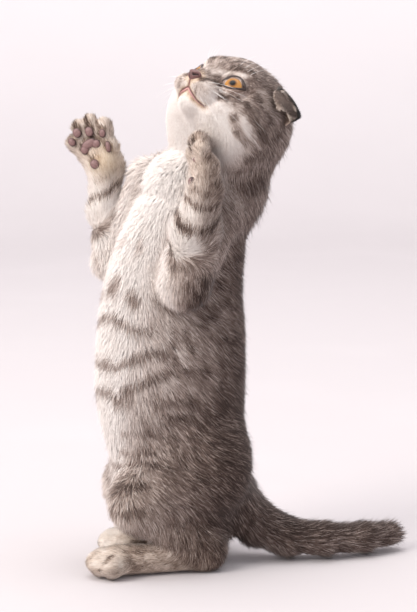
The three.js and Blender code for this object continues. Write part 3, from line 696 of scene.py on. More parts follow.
def walkSurface(depth, low, step):
    inside = depth < 0
    nx, ny, nz = depth.shape
    total = np.zeros((nx - 1, ny - 1, nz - 1, 3))
    crossings = np.zeros((nx - 1, ny - 1, nz - 1))
    cell = np.indices((nx - 1, ny - 1, nz - 1)).transpose(1, 2, 3, 0)
    for axis in range(3):
        u, v = (axis + 1) % 3, (axis + 2) % 3
        for i in (0, 1):
            for j in (0, 1):
                start = [0, 0, 0]
                start[u], start[v] = i, j
                end = list(start)
                end[axis] = 1
                a = depth[tuple(slice(s, s + n - 1) for s, n in zip(start, depth.shape))]
                b = depth[tuple(slice(s, s + n - 1) for s, n in zip(end, depth.shape))]
                differ = (a < 0) != (b < 0)
                t = np.where(differ, a / np.where(differ, a - b, 1), 0)
                crossings += differ
                for c in range(3):
                    total[..., c] += differ * (t if c == axis else start[c])
    used = crossings > 0
    number = np.full(used.shape, -1)
    number[used] = np.arange(used.sum())
    points = (total[used] / crossings[used][:, None] + cell[used]) * step + low
    quads = []
    for axis in range(3):
        u, v = (axis + 1) % 3, (axis + 2) % 3
        a = [slice(None)] * 3
        a[axis] = slice(0, -1)
        b = [slice(None)] * 3
        b[axis] = slice(1, None)
        where = np.argwhere(inside[tuple(a)] != inside[tuple(b)])
        last = np.array(depth.shape) - 1
        keep = (where[:, u] > 0) & (where[:, v] > 0) & (where[:, u] < last[u]) & (where[:, v] < last[v])
        where = where[keep]
        stepU, stepV = np.eye(3, dtype=int)[u], np.eye(3, dtype=int)[v]
        around = [where, where - stepU, where - stepU - stepV, where - stepV]
        corners = np.stack([number[tuple(w.T)] for w in around], axis=1)
        flip = ~inside[tuple(where.T)]
        corners[flip] = corners[flip][:, ::-1]
        quads.append(corners)
    return points, np.concatenate(quads)


# each point goes part way to the middle of its neighbours and back onto the surface
def settle(points, faces, rounds, even=0.5, depthAt=skinDepth):
    edges = np.concatenate([faces[:, [i, (i + 1) % faces.shape[1]]] for i in range(faces.shape[1])])
    count = np.bincount(edges[:, 0], minlength=len(points))[:, None]
    for _ in range(rounds):
        middle = np.stack([np.bincount(edges[:, 0], points[edges[:, 1], c], len(points)) for c in range(3)], axis=1)
        points = points + even * (middle / np.maximum(count, 1) - points)
        slope = slopeOf(depthAt, points)
        pull = -depthAt(points) / np.maximum(dot(slope, slope), 0.2)
        points = points + slope * np.clip(pull, -0.8, 0.8)[:, None]
    return points


def makeSkin():
    low, high, step = vec(*skinGrid["low"]), vec(*skinGrid["high"]), skinGrid["step"]
    counts = np.ceil((high - low) / step).astype(int) + 1
    depth = gridDepths(low, step, counts)
    points, faces = walkSurface(depth, low, step)
    print("skin walked:", len(points), "points", len(faces), "faces")
    points = settle(points, faces, skinGrid["rounds"], 0.5, lambda p: skinDepth(p, False))

    mesh = bmesh.new()
    for p in points.tolist():
        mesh.verts.new(p)
    mesh.verts.ensure_lookup_table()
    for face in faces.tolist():
        mesh.faces.new([mesh.verts[i] for i in face])
    ahead, across, up = faceSplit["eye"]
    centres = [onHead(ahead, s * across, up) for s in (1, -1)]
    ahead, across, up = faceSplit["mouth"]
    for level, reach in enumerate(faceSplit["reach"]):
        co = np.array([v.co for v in mesh.verts])
        near = np.minimum.reduce([np.linalg.norm(co - c, axis=1) for c in centres]) < reach
        place = headPlace(co)
        near |= (place[:, 0] > ahead - level) & (np.abs(place[:, 1]) < across - level * 1.5) & (
            place[:, 2] < 0
        ) & (place[:, 2] > up + level)
        chosen = [e for e in mesh.edges if near[e.verts[0].index] and near[e.verts[1].index]]
        bmesh.ops.subdivide_edges(mesh, edges=chosen, cuts=1, use_grid_fill=True)
        mesh.verts.ensure_lookup_table()
        mesh.verts.index_update()
    bmesh.ops.triangulate(mesh, faces=mesh.faces[:])
    mesh.verts.index_update()
    points = np.array([v.co for v in mesh.verts])
    faces = np.array([[v.index for v in f.verts] for f in mesh.faces])
    mesh.free()
    points = settle(points, faces, 3, 0.35)
    print("skin set:", len(points), "points", len(faces), "triangles")
    return points, faces


skinPoints, skinFaces = makeSkin()


# Paw pads, in the paw's own axes: place (across, down, out), half sizes and turn in the plane of the palm.
pads = {
    "toes": (
        ((4.6, 6.4, 23.6), (2.3, 1.8, 2.7), 8), ((-1.6, 6.2, 21.3), (2.3, 1.8, 2.8), -4),
        ((9.4, 5.8, 20.4), (2.0, 1.7, 2.4), 16), ((-7.6, 5.6, 17.5), (1.8, 1.6, 2.3), -18),
    ),
    "palm": (
        ((1.4, 6.7, 15.4), (4.4, 2.2, 2.6), 6), ((4.6, 6.6, 13.6), (2.5, 2.0, 2.5), 24),
        ((-2.2, 6.6, 13.9), (2.5, 2.0, 2.4), -24),
    ),
    "thumb": (((-7.6, 7.0, 9.6), (1.5, 1.8, 3.2), -14),),
    "carpal": (((2.6, 9.3, 4.2), (2.5, 2.3, 2.7), 20),),
}
padSink = {"left": 2.5, "right": 0.3}  # the left toes are curled over theirs
allPads = [pad for group in pads.values() for pad in group]


def padAxes(turn):
    c, s = math.cos(math.radians(turn)), math.sin(math.radians(turn))
    return np.array([[c, 0, -s], [0, 1, 0], [s, 0, c]])


# distance to the nearest pad of a paw, each an egg
def padDepth(p, side):
    arm = arms[side]
    local = (p - arm["wrist"]) @ pawAxes(arm).T + vec(0, padSink[side], 0)
    return np.minimum.reduce(
        [egg(local, vec(*place), padAxes(turn), vec(*halves)) for place, halves, turn in allPads]
    )


# Markings, and some painted shade: tone 0 is the palest hair and 1 the darkest, warm 0 is silver and 1 tan. Each line
# is (half thickness in mm, strength, places along it).
torsoLines = (
    # places are degrees round from the middle of the belly and mm above the ground, alike on both sides
    (3.7, 0.9, ((2, 158), (4, 154))), (3.6, 0.9, ((23, 151), (27, 148))),
    (2.7, 0.9, ((2, 140), (21, 137), (32, 134), (42, 133))), (2.7, 0.9, ((45, 150), (56, 146), (64, 145))),
    (6.5, 0.95, ((74, 152), (86, 160))), (2.7, 0.9, ((-4, 115), (19, 115), (31, 118), (43, 121), (57, 122))),
    (2.7, 0.85, ((-4, 101), (13, 100), (23, 96))), (3.4, 0.9, ((30, 102), (46, 107), (63, 113))),
    (2.3, 0.7, ((18, 94), (36, 97))), (1.6, 0.8, ((61, 134), (63, 120), (69, 114), (94, 110))),
    (1.6, 0.7, ((71, 134), (77, 124))), (2.2, 0.6, ((53, 95), (70, 97), (90, 94))),
    (2.8, 0.8, ((87, 137), (104, 146))), (2.3, 0.6, ((66, 89), (92, 85))),
    (2.1, 0.8, ((-4, 58), (34, 62), (66, 62))), (1.9, 0.7, ((16, 68), (52, 68))),
    (2.7, 0.85, ((2, 45), (34, 49), (48, 51))), (2.1, 0.7, ((5, 53), (40, 55))), (2.2, 0.7, ((26, 38), (46, 39))),
    (2.7, 0.7, ((26, 29), (40, 27))), (1.9, 0.6, ((24, 79), (52, 79))), (2.7, 0.45, ((14, 179), (18, 175))),
    (3.0, 0.5, ((104, 128), (140, 120))), (3.0, 0.5, ((100, 104), (140, 96))), (3.0, 0.45, ((98, 80), (138, 72))),
    (3.0, 0.5, ((98, 156), (140, 150))), (3.0, 0.45, ((80, 56), (125, 50))),
)
armLeftLines = (
    (2.4, 0.9, ((36, -15, 193), (50, -17, 184), (57, -10, 180), (56, -1, 183), (46, 8, 190))),
    (2.0, 0.8, ((46, -14, 199), (56, -8, 192), (56, -1, 193), (46, 7, 198))),
    (2.8, 0.6, ((44, -18, 168), (52, -11, 168), (54, -4, 171), (46, 5, 175))),
    (2.2, 0.5, ((30, -18, 184), (39, -19, 175), (45, -19, 165))),
    (1.8, 0.6, ((52, -12, 203), (58, -3, 201), (53, 5, 204))),
)
armRightLines = (
    (1.8, 0.85, ((-30, -42, 188), (-22, -33, 196), (-24, -22, 204), (-36, -24, 208))),
    (2.0, 0.5, ((-34, -40, 174), (-20, -37, 180), (-18, -27, 190))), (2.0, 0.5, ((-23, -40, 170), (-16, -39, 163))),
    (1.6, 0.4, ((-25, -38, 202), (-21, -32, 205))), (2.4, 0.8, ((-40, -30, 184), (-36, -24, 190))),
    (2.4, 0.8, ((-36, -36, 166), (-30, -22, 172))),
)
armLines = {"left": armLeftLines, "right": armRightLines}
neckLines = (
    (4.8, 0.85, ((38, 17, 208), (34, 29, 208), (30, 38, 211))), (3.2, 0.8, ((28, 33, 193), (18, 40, 196))),
    (3.2, 0.8, ((20, 36, 183), (11, 40, 180))), (2.2, 0.4, ((21, -14, 210), (29, -6, 208))),
    (3.9, 0.9, ((-17, -19, 211), (-15, -12, 217), (-13, -4, 222))), (2.4, 0.6, ((-22, -17, 204), (-12, -24, 205))),
    (4.5, 0.8, ((-18, 24, 214), (-14, 38, 212))),
)
headLines = (
    # places are ahead, side and up in the head's axes, alike on both sides
    (1.7, 1.0, ((30, 4.6, -5), (25, 8.5, -2.5), (20.5, 10.5, -0.3))),
    (1.5, 0.9, ((17, 19, 5), (13, 22, 5), (9, 25, 4))),
    (1.9, 0.75, ((22, 14, -7), (18, 18, -4), (13, 23, -2), (7, 28, -1))),
    (2.1, 0.65, ((15, 23.5, -12), (10, 27, -15.5), (4, 29, -17), (-4, 30, -16))),
    (2.3, 0.85, ((11, 27, -5), (3, 30, -7), (-5, 30, -8))),
    (2.2, 0.85, ((22, 9, 10), (17, 13, 13), (10, 18, 15), (3, 22, 13))),
    (2.0, 0.85, ((20, 4, 13), (13, 8, 19), (4, 13, 22), (-4, 15, 22))),
    (1.8, 0.8, ((20, 0, 13), (10, 1, 21), (-6, 2, 27))), (2.1, 0.7, ((8, 24, 4), (3, 28, 2), (-3, 30, -2))),
    (3.2, 0.9, ((-26, 18, 12), (-31, 16, 4), (-31, 16, -8))),
    (2.1, 0.7, ((-5, 29, -21), (-12, 28, -13), (-17, 27, -6))), (1.0, 0.5, ((27, 4.5, 0), (21, 5.5, 5))),
)
headPale = (
    (1.5, 0.95, ((24, 7.5, 4.5), (22, 10, 8.6), (18.5, 15, 10.5))),
    (1.7, 0.9, ((23, 11, -4), (19.5, 16, -4.5), (15.5, 20, -1.5))), (1.5, 0.75, ((27.5, 3.5, 2), (23, 6.5, 5.5))),
    (4.4, 0.95, ((22, 15, -11), (17, 20, -17), (9, 25, -22))), (2.6, 0.7, ((24, 8, -13), (20, 12, -13))),
    (1.5, 0.8, ((12, 27, -9), (6, 29, -12.5))), (1.6, 0.6, ((6, 25, 5), (-1, 27, 4))),
    (2.4, 0.6, ((-14, 25, 6), (-19, 24, 6))),
)
pawCreaseShade = (
    # painted shade in the clefts between the toes and in two creases on the paw's outer side; places are across, down
    # and out from the wrist
    (1.0, 1.0, ((5.3, 0, 32), (5.0, 6, 25), (4.6, 7, 21))), (1.0, 1.0, ((-2.2, 0, 31), (-2.0, 6, 24), (-2, 7, 19))),
    (0.7, 0.7, ((-7.6, 0, 28), (-6.5, 5, 20))), (1.2, 0.8, ((13.4, 5, 22.5), (9, -1, 25), (1.3, -3.6, 26.5))),
    (1.1, 0.7, ((12.9, 1.8, 14), (10, -3, 15), (7, -4.6, 16.2))),
)
footCleftShadeAndCuff = (
    # painted shade in the clefts between the toes of the left hind foot, and a dark cuff of coat over it
    (1.1, 0.9, ((30, -53, 3), (32, -50, 10), (30, -45, 13))),
    (0.9, 0.7, ((24, -54, 3), (24, -51, 10), (23, -46, 13))),
    (0.9, 0.6, ((16, -53, 3), (16, -50, 9), (17, -46, 12))),
    (1.7, 0.5, ((28, -38, 14), (28, -26, 14), (32, -11, 14))),
    (2.1, 0.8, ((34, -18, 21), (35, -8, 17), (30, 10, 17))),
)


def lineMark(p, lines, soft=0.9, grow=0.9):
    # the strongest of the lines at each point: strength inside the half thickness, fading over soft mm
    best = np.zeros(len(p))
    for thick, strength, places in lines:
        places = [np.asarray(v, float) for v in places]
        low, high = np.min(places, axis=0) - thick - 3, np.max(places, axis=0) + thick + 3
        near = np.flatnonzero(((p > low) & (p < high)).all(axis=1))
        if len(near):
            q = p[near]
            away = np.minimum.reduce([bar(q, a, b, thick * grow) for a, b in zip(places, places[1:])])
            best[near] = np.maximum(best[near], strength * (1 - ramp(-soft, soft, away)))
    return best


# the angle round from the middle of the belly, plus to the left
def torsoTurn(p):
    across, back, wide, deep, _ = torsoFrame(p)
    return np.arctan2(across / wide, -back / deep)


# a tone brought a share of the way to another
def towards(tone, goal, share):
    return tone + (goal - tone) * share


# white below, grey flanks and dark back, then with the bars; also the tone without them, and the bars alone
def torsoTones(ragged, angle):
    low = ramp(115, 70, ragged[:, 2])
    body = 0.03 + 0.3 * ramp(22 - 8 * low, 56 - 12 * low, angle) + 0.27 * ramp(54 - 12 * low, 92 - 14 * low, angle)
    body += 0.28 * ramp(90 - 16 * low, 128 - 22 * low, angle) + 0.1 * low * ramp(34, 52, angle)
    perDegree = 0.64  # mm round the torso
    flat = np.stack([np.abs(np.degrees(torsoTurn(ragged))) * perDegree, ragged[:, 2], np.zeros(len(ragged))], axis=1)
    lines = [(thick, strength, [(a * perDegree, z, 0) for a, z in places]) for thick, strength, places in torsoLines]
    bars = lineMark(flat, lines, 1.2)
    return towards(body, 0.9, bars * (0.62 + 0.25 * ramp(0.2, 0.5, body))), body, bars


whiskers = {
    "long": (18, 34), "radius": 0.075, "rows": 4, "each": 4, "spot": 0.95, "flecks": 0.3,
    "browLong": 16, "browRadius": 0.055,
}


# where whisker i of a row grows, ahead being the place of the first
def whiskerRoot(ahead, row, i):
    return vec(ahead - 2.1 * i - 0.3 * row, 6.5 + 1.7 * i, -6.2 - 1.9 * row + 0.5 * i)


# grey crown, white throat and chin, pale pads, then the pale and dark lines, the lips and the whisker spots;
# also the share of each point in the lips and the bare nose
def headTones(p, ragged, fine):
    q, raggedHead = headPlace(p), headPlace(ragged)
    q[:, 1], raggedHead[:, 1] = np.abs(q[:, 1]), np.abs(raggedHead[:, 1])
    bend = (q + raggedHead) / 2
    crown = 0.5 + 0.2 * ramp(16, -10, q[:, 0]) + 0.06 * fine
    throat = ramp(-5, -12, q[:, 2] - 0.3 * (q[:, 0] - 14)) * ramp(-14, 2, q[:, 0] + 0.4 * (18 - q[:, 1]))
    tone = towards(crown, 0.05, throat)
    pad = np.linalg.norm((q - vec(28, 7.5, -8.5)) / vec(7, 6, 5), axis=1)
    tone = towards(tone, 0.24, ramp(1.25, 0.7, pad))
    pale = lineMark(bend, headPale, 1.2)
    tone = tone * (1 - 0.9 * pale) + 0.04 * pale
    dark = lineMark(bend, headLines, 1.3, 1.1)
    tone = towards(tone, 0.9, dark * (0.7 + 0.3 * ramp(10, 18, q[:, 0])))
    lips = np.full(len(p), 9.0)
    lips[q[:, 0] > 10] = mouthDepth(p[q[:, 0] > 10])
    bare = ramp(1.35, 1.0, noseAway(q))
    tone = tone + 0.26 * ramp(2.6, 0.6, lips) + 0.25 * np.maximum(ramp(1.5, 0.5, lips), bare)
    spots = np.zeros(len(p))
    for row in range(whiskers["rows"]):
        for i in range(whiskers["each"]):
            away = np.linalg.norm(q - whiskerRoot(31.0, row, i), axis=1)
            spots = np.maximum(spots, np.exp(-((away / whiskers["spot"]) ** 2)))
    return towards(tone, 1, 0.8 * spots), np.maximum(ramp(3, 0.5, lips), bare)


# pale on the palm side, grey on the back of the arm, dark behind the elbow (the coat's own dark, with painted shade
# where the arm tucks against the body); painted shade in the paw's clefts and in the hair round its pads; aft is how
# far back a point lies
def armTones(p, ragged, side, aft):
    arm = arms[side]
    axes = pawAxes(arm)
    down = ((ragged - arm["wrist"]) @ axes.T)[:, 1]
    if side == "left":
        outer = ramp(6, -5, down)
        base, paw, padRimShade = 0.06 + 0.42 * ramp(6, 18, aft) + 0.2 * ramp(16, 30, aft), 0.24 + 0.26 * outer + 0.1, 0
    else:
        outer = ramp(4, -8, down)
        base, paw, padRimShade = 0.06 + 0.4 * outer, 0.24 + 0.26 * outer, 0.5
    # darker below and behind the elbow: partly the coat's own dark, partly painted shade where the arm tucks against
    # the body
    base = towards(base, 1, 0.85 * ramp(174, 156, ragged[:, 2]) * ramp(-6, 11, aft))
    tone = towards(base, 0.85, lineMark(ragged, armLines[side], 1.1))
    around = np.full(len(p), 9.0)
    close = np.flatnonzero(np.linalg.norm(p - arm["wrist"], axis=1) < 36)
    around[close] = padDepth(p[close], side)
    # painted shade in the hair round the pads, where it meets them
    paw = paw + padRimShade * ramp(1.9, 0.7, around)
    # painted shade in the clefts between the toes
    return tone, towards(paw, 0.9, lineMark((p - arm["wrist"]) @ axes.T, pawCreaseShade, 0.8, 1.35))


# tone and warmth of the hair rooted at each point; the tone carries some painted shade in creases too
def markingsAndShade(p, shares):
    wave, fine = noise(p, 16, 1), noise(p, 4, 2)
    ragged = p + np.stack([noise(p, 5, 3), noise(p, 5, 4), noise(p, 5, 5)], axis=1) * 1.1
    angle = np.degrees(np.abs(torsoTurn(p))) + 5 * wave
    left = p[:, 0] > 0
    aft = ragged @ vec(0.342, 0.94, 0)
    torsoTone, body, bars = torsoTones(ragged, angle)
    headTone, moist = headTones(p, ragged, fine)
    neckTone = towards(0.04 + 0.62 * ramp(58, 112, angle), 0.9, lineMark(ragged, neckLines, 1.4))
    armTone, pawTone = (
        np.where(left, leftTone, rightTone)
        for leftTone, rightTone in zip(armTones(p, ragged, "left", aft), armTones(p, ragged, "right", aft))
    )
    legTone = 0.08 + 0.9 * body + (0.9 - body) * bars * 0.7
    legTone = towards(legTone, 1, 0.25 * ramp(75, 45, ragged[:, 2]) * ramp(2, 14, aft))
    footTone = 0.4 + 0.1 * fine + 0.14 * ramp(14, 22, p[:, 2]) - 0.2 * ramp(-34, -52, p[:, 1])
    # painted shade in the clefts between the hind toes; the cuff over the foot is dark coat
    footTone = towards(footTone, 0.9, lineMark(ragged, footCleftShadeAndCuff, 0.8))
    # the far leg and foot are paler in front
    legTone *= 1 - 0.5 * ramp(-4, -18, aft) * ~left
    footTone *= 1 - 0.75 * ramp(-18, -34, aft) * ~left
    tailTop = ramp(6, 16, p[:, 2] - 0.06 * (90 - p[:, 1]))
    rings = 0.5 + 0.5 * np.sin(p[:, 1] / 13 * 2 * np.pi + 2 * wave)  # one ring in 13 mm
    tailTone = 0.66 + 0.2 * tailTop + 0.14 * rings * ramp(40, 60, p[:, 1])
    upperTone = armTone * 0.7 + 0.3 * torsoTone
    tones = [torsoTone, neckTone, headTone, upperTone, armTone, pawTone, legTone, legTone, footTone, tailTone]
    tone = dot(shares, np.stack(tones, axis=1))
    # mottled, most where it is neither white nor dark
    mottle = 0.55 * noise(p, 3.2, 31) + 0.45 * noise(p, 1.7, 32)
    tone = tone + 0.05 * fine + (0.22 + 0.16 * shares[:, 2]) * mottle * ramp(0.1, 0.4, tone)
    # the far shoulder is grey above the white chest
    spot = np.linalg.norm((ragged - vec(-20, -16, 203)) / vec(12, 12, 9), axis=1)
    tone = towards(tone, 0.62, 0.8 * ramp(1.3, 0.5, spot) * ramp(0.0, 0.5, shares[:, 0] + shares[:, 1]))
    warm = shares @ vec(0.12, 0.12, 0.18, 0.12, 0.2, 0.4, 0.15, 0.25, 0.45, 0.1)
    tan = (p - arms["right"]["wrist"] - vec(8, -2, 2)) / 9
    warm = warm + 0.7 * np.exp(-dot(tan, tan)) * ~left + 0.5 * moist * shares[:, 2]
    return np.clip(tone, 0, 1), np.clip(warm, 0, 1)


# The way the hair lies: each stretch has its own, run together by the shares and laid flat on the skin.
# Down the body and round towards the back, away from the nose on the head, and along each limb.
def lieOf(p, normals, shares):
    turn = torsoTurn(p)
    angle = np.degrees(np.abs(turn))
    backwards = np.stack([np.cos(turn), np.sin(turn), np.zeros(len(p))], axis=1) * np.sign(turn)[:, None]
    sweep = (0.75 * ramp(15, 60, angle) * (1 - ramp(120, 172, angle)))[:, None]
    down = unit(vec(0, 0, -1) + backwards * sweep)
    fromNose = unit(p - onHead(35, 0, -4))
    headAway = unit(fromNose + 0.35 * vec(0, 0.4, -1))
    ways = shares[:, 0:1] * down
    ways += shares[:, 1:2] * unit(neck["low"] - neck["high"] + vec(0, 6, 0))
    ways += shares[:, 2:3] * headAway
    isLeft = np.where(p[:, 0:1] > 0, 1.0, 0.0)
    for side, mask in (("left", isLeft), ("right", 1 - isLeft)):
        arm, leg = arms[side], legs[side]
        fore = unit(arm["wrist"] - arm["elbow"])
        along = ((p - arm["elbow"]) @ fore / np.linalg.norm(arm["wrist"] - arm["elbow"]))[:, None]
        turned = ramp(0.1, 0.55, along)
        limbWays = (
            unit(vec(0, 0.2, -1)),
            unit(fore * (2 * turned - 1) + vec(0.2, 0.55, 0) * np.sin(np.pi * turned)),
            unit(arm["tip"] - arm["wrist"]),
            unit(down + vec(0, 0.35, 0)),
            unit(vec(0, 0.25, -1)),
            unit(leg["tip"] - leg["heel"]),
        )
        for stretch, way in enumerate(limbWays, 3):
            ways += mask * shares[:, stretch : stretch + 1] * way
    tailWay = np.zeros((len(p), 3))
    nearest = np.full(len(p), 1e9)
    for (a, ra), (b, rb) in zip(tailLine, tailLine[1:]):
        away = bar(p, a, b, ra, rb)
        tailWay[away < nearest] = unit(b - a)
        nearest = np.minimum(nearest, away)
    ways += shares[:, 9:10] * tailWay
    ways -= normals * dot(ways, normals)[:, None]
    return unit(ways)


def pointNormals(points, faces):
    # the mean of the faces round each point, by their areas
    a, b, c = (points[faces[:, i]] for i in range(3))
    faceNormal = np.cross(b - a, c - a)
    total = [
        np.bincount(faces.ravel(), np.repeat(faceNormal[:, axis], 3), minlength=len(points)) for axis in range(3)
    ]
    return unit(np.stack(total, axis=1))


# The skin, under the whole coat and showing through it.
skinNormals = pointNormals(skinPoints, skinFaces)
skinShares = partShares(partDepths(skinPoints)[1])
skinTone, skinWarm = markingsAndShade(skinPoints, skinShares)
skin = makePiece("skin", skinPoints, skinFaces, furSkin, "coat", {"tone": skinTone, "warm": skinWarm})
flesh = ["head", "neck", "chest", "belly", "hips", "tail_base", "tail_middle", "tail_tip"]
for side in ("left", "right"):
    flesh += [f"{part}_{side}" for part in ("upper_arm", "forearm", "forepaw", "thigh", "shank", "hindfoot")]
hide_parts(*flesh)
print("skin made")


# The coat, in tufts: slim three-sided spikes. Each leaves the skin and ends in a point at
# root + lie * length * cos(rise) + normal * lift, where lift is about the depth of the coat.
def scatter(points, faces, density):
    # random places, so many to the square millimetre by each triangle's own density: triangle and two shares
    a, b, c = (points[faces[:, i]] for i in range(3))
    wanted = np.linalg.norm(np.cross(b - a, c - a), axis=1) / 2 * density
    total = int(wanted.sum())
    steps = (np.arange(total) + rng.random(total)) * wanted.sum() / total
    chosen = np.minimum(np.searchsorted(np.cumsum(wanted), steps), len(faces) - 1)
    s, t = np.sqrt(rng.random(total))[:, None], rng.random(total)[:, None]
    return faces[chosen], np.hstack([1 - s, s * (1 - t), s * t])


def spread(values, corners, mix):
    # a value per point of the mesh, carried over to scattered places
    picked = values[corners]
    return np.einsum("ij,ij...->i...", mix, picked)


spikePattern = np.array([[1, 0, 3], [2, 1, 3], [0, 2, 3], [2, 0, 1]])  # three sides and the end under the skin
ground = 0.15  # what would reach under it lies on it


def makeTufts(name, root, normal, lie, long, lift, wide, tone, warm, unwrap, slot="coat", most=48000):
    # one or more pieces of tufts, each under 200,000 triangles
    count = len(root)
    vary = rng.random((count, 4))
    side = np.cross(lie, normal)
    sway = 0.3 * noise(root, 8, 5) + 0.5 * (vary[:, 0] - 0.5)
    lie = unit(lie + side * sway[:, None])
    side = np.cross(lie, normal)
    guard = rng.random(count) < 0.07  # a few longer, thinner hairs stand out of the coat
    long = long * (0.7 + 0.55 * vary[:, 1]) * (1 + 0.2 * guard)
    lift = np.minimum(lift * (0.4 + 0.75 * vary[:, 2]) * (1 + 0.55 * guard), long * 0.85)
    reach = np.sqrt(long**2 - lift**2)
    half = (wide * (0.7 + 0.6 * vary[:, 3]) * (1 - 0.4 * guard) / 2)[:, None]
    sunk = root - normal * 0.35
    points = np.stack([
        sunk - side * half, sunk + side * half, sunk + normal * half * 1.2 - lie * half,
        root + lie * reach[:, None] + normal * lift[:, None],
    ], axis=1)
    points[..., 2] = np.maximum(points[..., 2], ground)
    # lit mostly as the coat's own surface, and a little as the single hair
    own = unit(normal * reach[:, None] - lie * lift[:, None])
    lean = normal * 0.75 + own * 0.25
    normals = unit(np.stack([lean - side * 0.35, lean + side * 0.35, lean, lean], axis=1))
    kind = rng.random(count)
    shade = tone + (0.07 + 0.17 * ramp(0.05, 0.4, tone)) * (rng.random(count) - 0.5)
    shade = shade + 0.26 * (kind > 0.88) * ramp(0, 0.3, tone) - 0.4 * (kind < 0.17) * tone
    shade = np.clip(shade, 0, 1)[:, None] + vec(-0.03, -0.03, -0.03, 0.07)
    u, v = unwrap
    patch = vec(-1, -1, 1, -1, 0, -1, 0, 1).reshape(4, 2) * 0.0015
    uv = np.stack([u, v], axis=1)[:, None] * 0.98 + 0.01 + patch
    pieces = -(-count // most)
    order = np.argsort(root[:, 2], kind="stable")
    for i, mine in enumerate(np.array_split(order, pieces)):
        faces = (spikePattern + np.arange(len(mine))[:, None, None] * 4).reshape(-1, 3)
        values = {"tone": np.clip(shade[mine], 0, 1).ravel(), "warm": warm[mine].repeat(4)}
        makePiece(
            name if pieces == 1 else f"{name}_{i + 1}", points[mine].reshape(-1, 3), faces, furTufts, slot, values,
            uv[mine].reshape(-1, 2), normals[mine].reshape(-1, 3),
        )
    print(name, count, "tufts,", count * 4, "triangles")


def limbUnwrap(p, line):
    # round the limb, and along it from its first place to its last, each bone taking its share of the height
    lengths = [np.linalg.norm(b - a) for a, b in zip(line, line[1:])]
    starts = np.cumsum([0] + lengths)
    best = np.full(len(p), 1e9)
    u, v = np.zeros(len(p)), np.zeros(len(p))
    for i, (a, b) in enumerate(zip(line, line[1:])):
        along = unit(b - a)
        t = np.clip((p - a) @ along, -6, lengths[i] + 6)
        away = p - a - np.clip(t, 0, lengths[i])[:, None] * along
        one = unit(np.cross(along, vec(0.3, 0.2, 0.93)))
        two = np.cross(along, one)
        far = np.linalg.norm(away, axis=1)
        nearer = far < best
        u = np.where(nearer, np.arctan2(away @ two, away @ one) / (2 * np.pi) + 0.5, u)
        v = np.where(nearer, (starts[i] + t) / starts[-1], v)
        best = np.minimum(best, far)
    return np.clip(u, 0, 1), np.clip(v, 0, 1)


# Where the coat is fluffier: nape, rump, near elbow, end of the tail and front of the neck, with its reach.
fluffs = (((12, 42, 192), 22), ((0, 30, 60), 26), ((34, -8, 150), 14), ((16, 112, 9), 16), ((-15, -12, 215), 14))
torsoCuts = {"chest": 146, "belly": 84}  # lowest height of each length of the torso's coat


# tufts to the square millimetre at places on the skin: none on eyes, lips, nose, pads and soles
def tuftDensity(p, shares):
    density = coatSize("dense", p, shares)
    density = density * (openingDepth(p, 1) > 0.75) * (openingDepth(p, -1) > 0.75)
    density = density * (noseAway(headPlace(p)) > 1) * (mouthDepth(p) > 0.55)
    for side in arms:
        density = density * (padDepth(p, side) > 0.45)
    return density * (p[:, 2] > 1.3)


# two shares of a flat map for the tufts of one piece: round it, and along it
def coatUnwrap(name, p):
    if name == "head":
        q = headPlace(p)
        ahead = np.clip(q[:, 0] / np.linalg.norm(q, axis=1), -1, 1)
        return np.arctan2(q[:, 1], q[:, 2]) / (2 * np.pi) + 0.5, np.arccos(ahead) / np.pi
    if name == "tail":
        return limbUnwrap(p, [place for place, radius in tailLine])
    if name.startswith("arm"):
        return limbUnwrap(p, [arms[name[4:]][key] for key in ("shoulder", "elbow", "middle", "wrist", "tip")])
    if name.startswith("leg"):
        return limbUnwrap(p, [legs[name[4:]][key] for key in ("hip", "knee", "hock", "tip")])
    return torsoTurn(p) / (2 * np.pi) + 0.5, (p[:, 2] - p[:, 2].min()) / np.ptp(p[:, 2])


# tufts over the whole skin, sorted into pieces by stretch
def bodyCoat():
    centre = skinPoints[skinFaces].mean(axis=1)
    corners, mix = scatter(skinPoints, skinFaces, tuftDensity(centre, skinShares[skinFaces[:, 0]]))
    root = spread(skinPoints, corners, mix)
    normal = unit(spread(skinNormals, corners, mix))
    shares = spread(skinShares, corners, mix)
    lie = lieOf(root, normal, shares)
    tone, warm = markingsAndShade(root, shares)
    # hair is cropped short round the eyes, nose and mouth, so that it doesn't hang over them
    edge = np.minimum.reduce([openingDepth(root, 1), openingDepth(root, -1), mouthDepth(root) + 0.4])
    crop = 0.25 + 0.75 * ramp(0.4, 4.5, edge)
    fluff = np.zeros(len(root))
    for place, size in fluffs:
        away = (root - place) / size
        fluff = np.maximum(fluff, np.exp(-dot(away, away)))
    long = coatSize("long", root, shares) * crop * (1 + 0.35 * fluff)
    lift = coatSize("deep", root, shares) * (0.5 + 0.5 * crop) * (1 + 0.3 * fluff)
    # flat under the soles
    lift *= 1 - 0.8 * ramp(9, 3, root[:, 2]) * ramp(0.2, -0.5, normal[:, 2])
    wide = coatSize("wide", root, shares)
    main = np.argmax(shares, axis=1)
    across, height = root[:, 0], root[:, 2]
    names = ("head", "neck_and_chest", "belly", "hips", "arm_left", "arm_right", "leg_left", "leg_right", "tail")
    torsoGroup = np.where(height > torsoCuts["chest"], 1, np.where(height > torsoCuts["belly"], 2, 3))
    group = np.select(
        [main == 2, main == 1, main == 0, (main >= 3) & (main <= 5), (main >= 6) & (main <= 8)],
        [0, 1, torsoGroup, np.where(across > 5, 4, 5), np.where(across > 0, 6, 7)],
        8,
    )
    for i, name in enumerate(names):
        mine = group == i
        values = [value[mine] for value in (root, normal, lie, long, lift, wide, tone, warm)]
        makeTufts(f"coat_{name}", *values, coatUnwrap(name, root[mine]))


bodyCoat()


